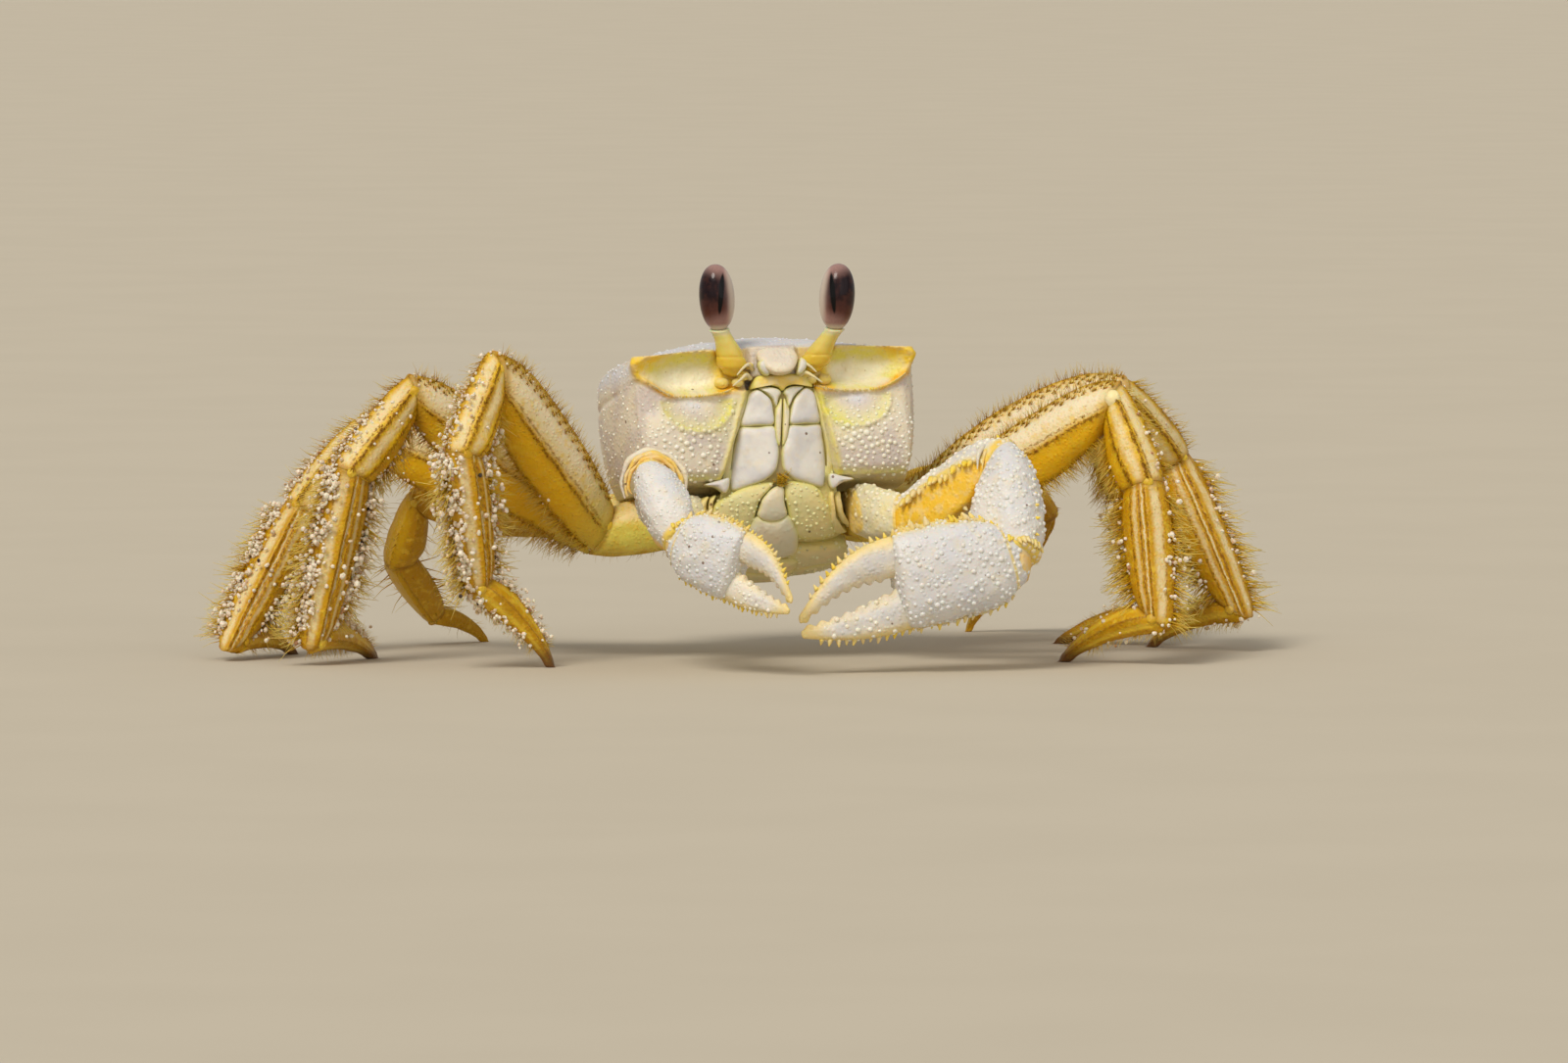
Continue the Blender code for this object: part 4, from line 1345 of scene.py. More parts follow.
    def masks(self, points: Array, rings: Array, front: Array) -> Masks:
        """Paint the face's masks on and fade them over the shell's front edge.

        Args:
            points: The whole shell's places.
            rings: Its rings.
            front: The places inside its face.

        Returns:
            The masks, by name.
        """
        fade = np.exp(-np.maximum(rings[:, :1, 1] - 0.6, 0) / 0.7)
        edge = self.paint(rings[0][:, 0], rings[0][:, 2])
        masks = {name: np.concatenate(((edge[name][None] * fade).ravel(), value, np.zeros(len(value))))
                 for name, value in self.paint(front[..., 0].ravel(), front[..., 2].ravel()).items()}
        x, y, z = points.T
        dome = ease(-3.2, -0.6, z)
        bare = (np.arange(len(points)) < rings[..., 0].size) * ease(0.8, 2.0, y)
        masks["grain"] = masks["grain"] + bare * np.maximum(
            ease(-1.6, -3.0, z) * ease(-16.4, -14.0, z) * (0.30 * ease(26.0, 8.0, y)),
            dome * (0.16 + 0.40 * ease(11.0, 19.0, np.abs(x))))
        masks["small"] = masks["small"] + bare * 0.8
        # Painted reflection: the dome's top is tinted bluish, as if it reflected the sky.
        masks["blue"] = masks["blue"] + bare * dome
        masks["lime"] = clamp(masks["lime"] + bare * 0.35 * ease(-15.2, -16.8, z))
        masks["edge"] = bare * hump(z - read(self.shoulder, y), 0.35)
        return masks


@dataclass
class BrowDetails:
    """The rostrum between the eyes and the beaded lower rims of the orbits."""

    finish: Material
    spines: Plant
    carapace: Carapace
    rostrum: Outline = mirrored((
        (0.0, 1.9), (1.8, 1.75), (2.6, 1.1), (2.85, 0.1), (2.45, -0.9), (1.75, -1.75), (0.9, -2.2), (0.0, -2.3)))
    lean: Table = ((-2.4, -2.5), (-1.2, -1.8), (0.0, -0.9), (1.0, 0.1), (1.9, 1.5))
    lumps: tuple = ((4.3, 0.3, -2.2, 0.85), (5.2, 0.35, -3.1, 0.75), (7.3, 1.0, -3.0, 0.95), (3.5, 0.1, -0.9, 0.6))
    offset: float = 0.5
    beads: int = 54
    bead_size: float = 0.30

    def surface(self, x: Array, z: Array, height: Array) -> Array:
        """Lay flat numbers on the rostrum's leaning face."""
        y = read(self.lean, z) + 0.05 * x * x
        return POSE.place(stack(x + self.offset, y - height * 0.9, z + height * 0.25))

    def build(self) -> None:
        """Make and hand over the rostrum and the beads."""
        form = Form()
        Plate(self.rostrum, 0.75, depth=0.9, edge=3.4, dish=0.34, round_steps=18, corners=84).add_to(
            form, self.surface, {"edge": 1.0, "milk": 0.30})
        for x, y, z, size in self.lumps:
            for sign in (1, -1):
                add_ball(form, POSE.place((sign * x, y, z)), np.diag((1.1, 0.8, 0.8)) * size,
                         {"gold": 0.6, "lime": 0.6}, 12)
        hand_over(form.build("rostrum", self.finish), "carapace_shell")
        hand_over(self.spines.grow("orbit_rim_beads", [self.bead_row()]), "carapace_shell")

    def bead_row(self) -> Row:
        """Give the row of small teeth along the orbits' lower and outer rims.

        Returns:
            The roots.
        """
        carapace = self.carapace
        turn = np.radians(np.linspace(-18, -164, self.beads))
        c, s, power = np.cos(turn), np.sin(turn), 2 / carapace.orbit_power
        wide = carapace.orbit_radii[0] * np.sign(c) * np.abs(c) ** power
        low = carapace.orbit_radii[1] * np.abs(s) ** power
        roots, aims = [], []
        for side in (1, -1):
            size = np.ones(self.beads)
            for _ in range(12):
                x, z = side * (carapace.orbit[0] + size * wide), carapace.orbit[1] - size * low
                size = size + 0.7 * (1.07 - carapace.orbit_reach(x, z))
            roots.append(stack(x, carapace.face(x, z) + 0.12, z))
            aims.append(stack(side * 0.25 * c, -1.0, 0.55))
        sizes = np.random.default_rng(SEED + 5).uniform(0.35, 0.75, 2 * self.beads) * self.bead_size * 2
        return Row(POSE.place(np.concatenate(roots)), np.concatenate(aims) @ POSE.turn.T, sizes)


# ---------------------------------------------------------------- mouth


@dataclass
class MouthField:
    """The epistome, antennae and the two outer maxillipeds that close the mouth."""

    finish: Material
    tufts: Plant
    ischium: Outline = (
        (1.1, -9.28), (3.4, -9.32), (5.7, -9.22), (6.2, -10.9), (6.62, -12.9), (6.88, -15.3), (6.85, -17.2),
        (6.35, -18.05), (4.0, -17.45), (1.9, -16.7), (0.62, -15.55), (0.26, -14.2), (0.2, -12.6), (0.55, -11.0))
    merus: Outline = (
        (1.15, -9.12), (3.4, -9.16), (5.66, -9.06), (5.36, -7.2), (4.95, -5.7), (4.55, -4.7), (3.5, -4.12),
        (2.5, -4.75), (1.62, -5.75), (1.22, -7.25))
    palp_top: Outline = (
        (3.2, -3.98), (1.7, -3.86), (0.5, -4.25), (0.16, -4.8), (0.55, -5.5), (0.78, -6.7), (1.12, -6.4),
        (1.45, -5.6), (2.3, -4.7))
    palp_low: Outline = (
        (0.12, -5.9), (0.6, -6.3), (0.98, -7.2), (1.0, -9.0), (0.78, -11.0), (0.45, -11.9), (0.14, -11.5))
    exopod: Outline = (
        (4.75, -4.15), (5.6, -5.4), (6.5, -7.4), (7.35, -9.4), (7.9, -11.5), (8.12, -13.5), (8.0, -15.3),
        (7.5, -16.7), (6.98, -16.4), (6.98, -15.0), (6.78, -13.0), (6.3, -10.8), (5.72, -9.0), (5.25, -6.95),
        (4.75, -5.2))
    corner: Outline = ((7.2, -16.2), (8.7, -16.5), (10.6, -17.05), (9.0, -17.5), (7.7, -18.3), (7.1, -17.4))
    epistome: Outline = mirrored((
        (0.0, -2.2), (3.1, -2.3), (4.0, -3.0), (4.4, -4.05), (3.5, -3.9), (2.0, -3.7), (0.7, -3.95), (0.0, -4.5)), 2)
    gap: Outline = mirrored(((0.0, -4.2), (6.2, -4.6), (7.4, -10.0), (7.8, -16.6), (4.0, -17.6), (0.0, -17.2)), 1)
    antennule: Outline = (
        (2.75, -0.1), (3.45, -0.7), (3.25, -1.7), (2.5, -2.4), (1.95, -2.3), (2.15, -1.4), (2.4, -0.6))
    antennae: tuple[tuple[Place, ...], ...] = (
        ((3.4, 0.2, -2.6), (4.2, -1.0, -2.2), (5.2, -1.7, -2.9), (6.3, -1.6, -3.7)),
        ((3.0, 0.3, -1.4), (3.8, -0.9, -0.8), (4.7, -1.4, -1.3), (5.6, -1.5, -2.2)))
    hairs: int = 130
    feeler_grid: tuple[int, int] = (18, 10)

    def layer(self, depth: float, side: int = 1, curve: float = 0.035) -> Surface:
        """Give a surface that faces forward at one depth.

        Args:
            depth: Distance back from the face.
            side: 1 for the animal's left, -1 for its right.
            curve: How much it falls back sideways.

        Returns:
            The surface, for Plate.add_to.
        """
        def place(x: Array, z: Array, height: Array) -> Array:
            """Turn two flat numbers and a height into places."""
            return POSE.place(stack(side * x + mouth_axis(z), depth + curve * x * x - height, z))
        return place

    def build(self) -> None:
        """Make and hand over the mouth's pieces."""
        self.frame()
        for side in Side:
            self.maxilliped(side)
        hand_over(self.tufts.grow("mouth_tuft", [self.tuft()]), "mouth_shell")

    def maxilliped(self, side: Side) -> None:
        """Make and hand over one outer maxilliped: two plates, the folded palp and the exopod.

        Args:
            side: Its side.
        """
        form = Form()
        flat = dict(edge=7.0, round_steps=22, corners=104, dish=0.22, rim_from=0.88)
        for outline, height, shape, depth, curve, masks in (
                (self.exopod, 0.75, dict(edge=2.2, round_steps=12, corners=110), 0.85, 0.012,
                 {"lime": 0.50, "gold": 0.25, "edge": 0.4}),
                (self.ischium, 1.15, flat, 0.55, 0.03, {"edge": 1.0, "grain": 0.05}),
                (self.merus, 1.05, flat | dict(dish=0.15, rim_from=0.86, round_steps=20, corners=90), 0.45, 0.03,
                 {"edge": 1.0, "grain": 0.05}),
                (self.palp_top, 0.75, dict(rim_from=0.7, corners=72), 0.25, 0.035, {"edge": 1.0, "lime": 0.12}),
                (self.palp_low, 0.65, dict(edge=2.2, corners=64), 0.05, 0.035, {"gold": 0.22, "lime": 0.22})):
            Plate(outline, height, **shape).add_to(form, self.layer(depth, side.value, curve), masks)
        piece = form.build(f"maxilliped_{side.word}_plates", self.finish)
        hand_over(piece, "mouth_shell", f"maxilliped_{side.word}")

    def frame(self) -> None:
        """Make and hand over the epistome, the gap behind the plates, the antennules and the antennae."""
        form = Form()
        Plate(self.epistome, 0.7, depth=1.2, edge=2.6, dish=0.1, corners=84).add_to(
            form, self.layer(0.0, curve=0.02), {"gold": 0.70, "lime": 0.30, "orange": 0.15})
        # Painted shade: the gap plate behind the maxillipeds is darkened with the shadow colour, where the plates
        # shade it.
        Plate(self.gap, 0.3, edge=6.0).add_to(
            form, self.layer(0.75, curve=0.02), {"deep": 0.65, "gold": 0.4, "lime": 0.3})
        for sign in (1, -1):
            Plate(self.antennule, 0.75, edge=2.2).add_to(form, self.layer(-1.0, sign, 0.0), {"lime": 0.08})
            Plate(self.corner, 0.8, edge=2.0, rim_from=0.8).add_to(form, self.layer(0.5, sign, 0.0), {"edge": 0.8})
            for points in self.antennae:
                self.feeler(form, np.array(points) * (sign, 1, 1))
        hand_over(form.build("mouth_frame_plates", self.finish), "underside_shell", "mouth_frame")

    def tuft(self) -> Row:
        """Give the roots of the orange hairs below the slit between the plates.

        Returns:
            The roots.
        """
        draw, count = np.random.default_rng(SEED + 21), self.hairs
        x, z = 0.15 + draw.normal(0, 0.42, count), -16.7 + draw.normal(0, 0.40, count)
        aims = stack(draw.normal(0, 0.5, count), -1.0, draw.normal(0.1, 0.5, count))
        return Row(POSE.place(stack(x, 0.25, z)), aims @ POSE.turn.T, draw.uniform(0.5, 1.1, count),
                   draw.uniform(0, 0.15, count), stack((x + 3.0) / 6.0, (z + 20.0) / 6.0, 0.0))

    def feeler(self, form: Form, points: Array) -> None:
        """Add one small antenna, tapering along a bent line.

        Args:
            form: The mesh in the making.
            points: The line's knots.
        """
        share = np.linspace(0, 1, self.feeler_grid[0])
        line = trace(points, share)
        along = unit(np.gradient(line, axis=0))
        first = unit(np.cross(along, (0.3, 0.2, 1.0)))
        radius = 0.34 - 0.24 * share + 0.025 * np.sin(share * 60)
        rings = wrap(line, radius, first, np.cross(along, first), self.feeler_grid[1])
        SKIN.close(form, POSE.place(rings), (0.1, 0.1), {"gold": 0.35, "lime": 0.2})


# ---------------------------------------------------------------- underside


@dataclass
class Underside:
    """The thorax with its sternal plates, and the male's narrow abdomen folded on it."""

    finish: Material
    granules: Scatter
    coat: Coat = Coat(0.62, 0.12, 0.34, 3.0)
    path: Outline = (
        (1.5, -15.4), (0.9, -17.6), (1.2, -20.0), (3.0, -23.4), (5.6, -25.8), (9.0, -27.5), (14.0, -28.4),
        (20.0, -27.6), (26.0, -24.6), (31.5, -19.2))
    half_width: Table = ((0.0, 7.0), (4.0, 9.6), (9.0, 10.6), (20.0, 10.6), (27.0, 8.8), (32.0, 6.0))
    under: Table = Carapace.under
    plate_sides: Outline = (
        (1.1, -16.95), (3.9, -17.2), (6.5, -18.5), (8.3, -20.4), (9.1, -22.6), (9.5, -24.7), (7.3, -25.0),
        (4.25, -24.6), (3.35, -23.3), (2.5, -21.8), (1.95, -19.8), (0.95, -17.8))
    telson: Outline = mirrored((
        (0.0, -17.6), (0.85, -18.0), (1.45, -19.0), (1.85, -20.3), (2.1, -21.35), (1.25, -21.95), (0.0, -22.15)))
    sixth: Outline = mirrored((
        (0.0, -22.05), (1.3, -21.85), (2.3, -21.5), (3.3, -22.7), (4.1, -24.5), (3.9, -26.1), (1.6, -26.7)))
    folds: tuple[Outline, ...] = (
        ((8.2, -18.6), (8.75, -18.9), (8.9, -21.0), (9.9, -23.6), (11.4, -24.9), (9.6, -24.6), (8.5, -22.6),
         (8.3, -20.6)),
        ((9.1, -18.8), (9.8, -19.0), (10.0, -20.6), (10.9, -22.6), (12.0, -24.2), (10.3, -23.2), (9.3, -21.0)))
    segments: Table = ((14.0, 3.9), (17.4, 3.6), (21.0, 3.6), (25.0, 4.0), (29.4, 4.7), (33.8, 5.4))
    sternite_lines: tuple[float, ...] = (12.2, 17.6, 22.8, 28.0, 32.4)
    lift: float = 0.35
    core_reach: tuple[float, float] = (1.2, 31.2)
    core_grid: tuple[int, int] = (40, 56)

    def trail(self) -> tuple[Array, Array, Array]:
        """Trace the keel.

        Returns:
            The path's places, its arc lengths and its outward normals.
        """
        line = trace(np.array(self.path), np.linspace(0, 1, 160))
        step = np.linalg.norm(np.diff(line, axis=0), axis=1)
        tangent = unit(np.gradient(line, axis=0))
        return line, np.concatenate(((0.0,), np.cumsum(step))), stack(tangent[:, 1], -tangent[:, 0])

    def surface(self, x: Array, along: Array, height: Array) -> Array:
        """Lay flat numbers on the underside's keel.

        Args:
            x: Places across it.
            along: Arc lengths from its front.
            height: Heights above it.

        Returns:
            The places.
        """
        line, arc, normal = self.trail()
        y, z, ny, nz = (np.interp(along, arc, column) for column in (*line.T, *normal.T))
        rise = height - 0.30 * (np.abs(x) / 6.0) ** 2.4
        lean = -1.2 * ease(1.5, 4.5, along) * ease(17.0, 11.0, along)
        return POSE.place(stack(x + lean, y + ny * rise, z + nz * rise))

    def lifted(self, x: Array, along: Array, height: Array) -> Array:
        """Lay flat numbers on top of the sternal plates."""
        return self.surface(x, along, height + self.lift)

    def flat(self, outline: Outline, sign: int = 1) -> Outline:
        """Turn an outline seen from the front into numbers across and along.

        Args:
            outline: The outline.
            sign: -1 mirrors it.

        Returns:
            The outline for surface().
        """
        line, arc, _ = self.trail()
        deepest = int(line[:, 1].argmin())
        return tuple((sign * x, float(np.interp(-z, -line[:deepest, 1], arc[:deepest]))) for x, z in outline)

    def core(self) -> None:
        """Make and hand over the thorax, its side walls, keel and sternal plates, and its granules."""
        form = Form()
        line, arc, _ = self.trail()
        back, turn = np.linspace(*self.core_reach, self.core_grid[0])[:, None], circle(self.core_grid[1])
        bottom = np.interp(back, line[:, 0], line[:, 1])
        top, c, s = read(self.under, back) + 0.2, np.cos(turn), np.sin(turn)
        middle = (top + bottom) / 2
        depth = np.where(s > 0, top - middle, bottom + 0.9 - middle) * np.abs(s) ** 0.8
        across = read(self.half_width, back) * (np.abs(c) ** 0.75 * np.sign(c))
        SKIN.close(form, POSE.place(stack(across, back, middle + depth)), (0.5, 0.8), {"lime": 0.35})
        for sign in (1, -1):
            Plate(self.flat(self.plate_sides, sign), 0.95, depth=1.4, edge=3.6, rim_from=0.72, round_steps=22,
                  corners=96).add_to(form, self.surface, {"edge": 1.0, "grain": 0.9, "lime": 0.22})
            for fold in self.folds:
                Plate(self.flat(fold, sign), 0.9, depth=1.4, edge=2.0, round_steps=10).add_to(
                    form, self.surface, {"edge": 0.6, "gold": 0.30})
            for near, far in zip(self.sternite_lines, self.sternite_lines[1:]):
                middle = float(np.interp((near + far) / 2, arc, line[:, 0]))
                wide = float(read(self.half_width, middle)) + 0.4
                outline = ((3.2, near + 0.15), (wide * 0.6, near + 0.1), (wide, near + 0.9),
                           (wide + 0.3, (near + far) / 2 + 0.5), (wide, far + 0.4), (wide * 0.6, far - 0.15),
                           (3.2, far - 0.1))
                Plate(tuple((x * sign, y) for x, y in outline), 0.75, depth=1.4, edge=3.6, round_steps=12).add_to(
                    form, self.surface, {"edge": 0.7, "grain": 0.35})
        piece = form.build("thorax_shell", self.finish)
        hand_over(piece, "underside_shell", "thorax")
        hand_over(self.granules.grow("thorax_granules", piece, self.coat), "underside_shell")

    def abdomen(self) -> None:
        """Make and hand over the telson and the abdomen's segments."""
        form = Form()
        for outline in (self.telson, self.sixth):
            Plate(self.flat(outline), 0.8, depth=0.8, edge=3.4, rim_from=0.78, round_steps=18, corners=84).add_to(
                form, self.lifted, {"edge": 0.8, "blue": 0.45, "grain": 0.03})
        for (near, a), (far, b) in zip(self.segments, self.segments[1:]):
            outline = mirrored(((a * 0.5, near), (a, near + 0.5), ((a + b) / 2 + 0.15, (near + far) / 2),
                                (b, far - 0.4), (b * 0.5, far)), 1)
            Plate(outline, 0.9, depth=0.8, edge=3.2, corners=72).add_to(
                form, self.lifted, {"edge": 0.7, "grain": 0.05})
        hand_over(form.build("abdomen_segments", self.finish), "underside_shell", "abdomen")


# ---------------------------------------------------------------- eyes


@dataclass
class Eye:
    """One upright eye on its stalk."""

    side: Side
    centre: Place
    lean: float
    glaze: Material
    skin: Material
    foot: Place = (5.75, 0.5, -1.3)
    radii: Place = (2.45, 2.6, 4.6)
    slit_side: float = 0.55
    slit_half: tuple[float, float] = (0.36, 2.75)
    stalk_radii: Table = ((0.0, 1.5), (0.08, 2.0), (0.22, 2.05), (0.5, 1.72), (0.72, 1.42), (0.9, 1.30), (1.0, 1.40))
    cup_drop: float = 0.955
    cornea_grid: tuple[int, int] = (150, 180)
    stalk_grid: tuple[int, int] = (44, 44)
    stalk_bow: float = 0.35

    @property
    def tilt(self) -> Array:
        """The eye's lean."""
        return turn_about("Y", -self.lean)

    def cornea(self) -> None:
        """Make and hand over the glossy eye."""
        wide, deep, tall = self.radii
        angle = np.radians(np.linspace(-86, 86, self.cornea_grid[0]))[:, None]
        turn = circle(self.cornea_grid[1])
        reach, rise = np.cos(angle) ** 0.90, np.sign(angle) * np.abs(np.sin(angle)) ** 0.95
        flat = stack(wide * reach * np.cos(turn), deep * reach * np.sin(turn), tall * rise)
        x, y, z = flat[..., 0] * -self.side.value, flat[..., 1], flat[..., 2]
        slit = np.hypot((x - self.slit_side - 0.15 * z) / self.slit_half[0], (z - 0.55) / self.slit_half[1])
        masks = {
            "slit": ease(0.0, -0.6, y) * ease(1.12, 0.88, slit),
            "pale": ease(1.3, 2.2, x + 0.06 * np.abs(z)) * 0.85 + ease(-3.5, -4.2, z) * 0.85,
            "blush": (ease(2.3, 4.5, z + 0.35 * x) * 0.75 + ease(-1.6, -3.9, z - 0.25 * x) * 0.75
                      + 0.45 * ease(0.7, 2.0, x)),
            "rust": ease(0.4, -2.4, z) * 0.9}
        form = Form()
        SKIN.close(form, flat @ self.tilt.T + np.array(self.centre), (0.02, 0.02),
                   {name: clamp(value) for name, value in masks.items()})
        name = f"eye_{self.side.word}"
        hand_over(form.build(f"{name}_cornea", self.glaze), "cornea", name)

    def stalk(self) -> None:
        """Make and hand over the stalk, whose cup holds the eye."""
        foot = POSE.place_on(self.side, self.foot)
        cup = np.array(self.centre) - self.tilt @ np.array((0, 0, self.radii[2] * self.cup_drop))
        share, turn = np.linspace(0, 1, self.stalk_grid[0]), circle(self.stalk_grid[1])
        bow = np.sin(share * math.pi) * self.stalk_bow
        line = foot + (cup - foot) * share[:, None] + np.array((-self.side.value, 0.0, 0.0)) * bow[:, None]
        radius = read(self.stalk_radii, share)
        crease = 1 + 0.006 * np.sin(share * 31) - 0.05 * hump(share - 0.33, 0.025)
        rings = wrap(line, radius * crease, np.eye(3)[:1], np.eye(3)[1:2], len(turn))
        around = stack(np.cos(turn), np.sin(turn), 0.0)
        rings = rings + (around @ self.tilt.T - around)[None] * (radius * ease(0.5, 1.0, share))[:, None, None]
        rings[..., 2] += ease(0.7, 1.0, share)[:, None] * 0.30 * np.sin(turn)
        out = rings - rings.mean(1, keepdims=True)
        rings = rings + out * (0.06 * ripple(rings, 2.4, 17) * ease(0.9, 0.4, share)[:, None])[..., None]
        form = Form()
        SKIN.close(form, rings, (1.0, 0.15), {"rise": share[:, None]})
        name = f"eyestalk_{self.side.word}"
        hand_over(form.build(f"{name}_skin", self.skin), "eyestalk_skin", name)


# ---------------------------------------------------------------- limbs


Painter = Callable[[Array, Array, Array, Array], Masks]
LENS: Table = ((0.0, 1.0), (0.72, 0.66), (1.0, 0.06), (0.72, -0.62), (0.0, -1.0), (-0.72, -0.62), (-1.0, 0.06),
               (-0.72, 0.66))


@dataclass(frozen=True)
class Ridge:
    """A keel or furrow that runs along a segment at one angle from its upper ridge."""

    angle: float
    height: float
    width: float = 9.0


@dataclass(frozen=True)
class Fringe:
    """A line of bristles along a segment."""

    angle: float
    spread: float
    per_mm: float
    length: float
    tone: float = 0.15
    sweep: float = 0.5
    tuft_mm: float = 0.0
    start: float = 0.04
    stop: float = 0.98


@dataclass
class Tube:
    """One limb segment: a section carried along a line, with its ends cut to two planes."""

    line: Array
    planes: tuple[Array, Array]
    across: Array
    side: int
    profile: Array
    section: Table | Array
    ridges: tuple[Ridge, ...]
    gap: float = 0.3
    bow: float = 0.0
    frames: int = 64
    least_lean: float = 0.42

    def __post_init__(self) -> None:
        """Work out the frames along the line."""
        self.stations = np.linspace(0, 1, self.frames)
        centre = trace(self.line, self.stations)
        self.along = unit(np.gradient(centre, axis=0))
        self.centre = centre + self.along * ((self.gap / 2) * (1 - 2 * self.stations))[:, None]
        across = [self.across]
        for along in self.along:
            across.append(square_off(across[-1], along))
        self.forward = np.array(across[1:])
        self.upward = np.cross(self.forward, self.along) * self.side
        self.centre = self.centre + self.upward * (self.bow * np.sin(math.pi * self.stations) ** 0.8)[:, None]

    def at(self, table: Array, share: Array) -> Array:
        """Read a row of vectors at shares of the length."""
        return stack(*(np.interp(share, self.stations, column) for column in table.T))

    def slide(self, offset: Array, along: Array, end: int) -> Array:
        """Give how far places move along the segment to reach one end plane."""
        lean = along @ self.planes[end]
        return -(offset @ self.planes[end]) / np.maximum(self.least_lean, np.abs(lean)) * np.sign(lean)

    def surface(self, share: Array, angle: Array) -> tuple[Array, Array]:
        """Give places and outward directions on the segment.

        Args:
            share: Shares of the length.
            angle: Degrees from the upper ridge, by way of the front.

        Returns:
            The places and the directions.
        """
        high, wide = read(self.profile[:, :2], share), read(self.profile[:, ::2], share)
        flat = loop(np.array(self.section), (angle % 360.0) / 360.0 * len(self.section))
        swell = np.ones(np.broadcast(share, angle).shape)
        fade = ease(0.0, 0.10, share) * ease(1.0, 0.92, share)
        for ridge in self.ridges:
            swell = swell + ridge.height * hump(apart(angle, ridge.angle), ridge.width) * fade
        a, u = flat[..., 0] * swell, flat[..., 1] * swell
        along, forward, upward = (self.at(v, share) for v in (self.along, self.forward, self.upward))
        offset = forward * (a * wide)[..., None] + upward * (u * high)[..., None]
        slide = self.slide(offset, along, 0) * (1 - share) + self.slide(offset, along, 1) * share
        places = self.at(self.centre, share) + offset + along * slide[..., None]
        return places, unit(forward * (a / wide)[..., None] + upward * (u / high)[..., None])

    @property
    def length(self) -> float:
        """The line's length."""
        return float(np.linalg.norm(np.diff(self.line, axis=0), axis=1).sum())

    def add_to(self, form: Form, rings: int, corners: int, bulges: tuple[float, float],
               masks: Painter | None = None, rough: float = 0.05, grounded: bool = False) -> None:
        """Add the closed segment to a form.

        Args:
            form: The mesh in the making.
            rings: Rings along it.
            corners: Corners round it.
            bulges: How far its caps stand out.
            masks: Gives painted masks for shares, angles, outward directions and places.
            rough: Height of its slight unevenness.
            grounded: Whether its far end is cut level with the floor.
        """
        along = (1 - np.cos(np.linspace(0, math.pi, rings))) / 2 * 0.4 + np.linspace(0, 1, rings) * 0.6
        share, angle = np.meshgrid(along, np.arange(corners) * 360.0 / corners, indexing="ij")
        places, outward = self.surface(share, angle)
        places = places + outward * (ripple(places, 3.2, 21) * rough * ease(1.0, 0.9, share))[..., None]
        if grounded:
            places[..., 2] = np.maximum(places[..., 2] * (1 - ease(0.90, 1.0, share)), 0.0)
        SKIN.close(form, places, bulges, masks(share, angle, outward, places) if masks else None, along)

    def fringe(self, fringe: Fringe, seed: int, map_row: int, map_rows: int, gravity: float = 0.15) -> Row:
        """Give the roots of one line of bristles.

        Args:
            fringe: The line.
            seed: Picks the places.
            map_row: The segment's place among its limb's segments.
            map_rows: How many segments the limb has.
            gravity: How much the bristles hang.

        Returns:
            The roots.
        """
        draw = np.random.default_rng(seed)
        count = max(3, int(fringe.per_mm * self.length * (fringe.stop - fringe.start)))
        share = draw.uniform(fringe.start, fringe.stop, count)
        angle = fringe.angle + draw.normal(0, 1, count) * fringe.spread
        if fringe.tuft_mm:
            pitch = fringe.tuft_mm / self.length
            line = draw.integers(-1, 2, count)
            angle = fringe.angle + line * fringe.spread + draw.normal(0, 2.0, count)
            share = (np.round(share / pitch) + 0.5 * (line % 2)) * pitch + draw.normal(0, 0.10, count) * pitch
            share = np.clip(share, fringe.start, fringe.stop)
        places, outward = self.surface(share, angle)
        aims = (outward + self.at(self.along, share) * (fringe.sweep + draw.normal(0, 0.18, count))[:, None]
                + draw.normal(0, 0.16, (count, 3)) + np.array((0, 0, -gravity)))
        sizes = fringe.length * np.clip(draw.normal(1.0, 0.26, count), 0.35, 1.6)
        tones = clamp(draw.normal(fringe.tone, 0.14, count))
        spot = stack((map_row + 0.05 + 0.9 * share) / map_rows, (angle % 360) / 360, 0.0)
        clear = (places + unit(aims) * sizes[:, None])[:, 2] > 0.35
        return Row((places - outward * 0.05)[clear], aims[clear], sizes[clear], tones[clear], spot[clear])


def sized(profile: tuple[Place, ...], scale: float) -> Array:
    """Scale the heights and widths of a limb segment's profile."""
    return np.array(profile) * (1.0, scale, scale)


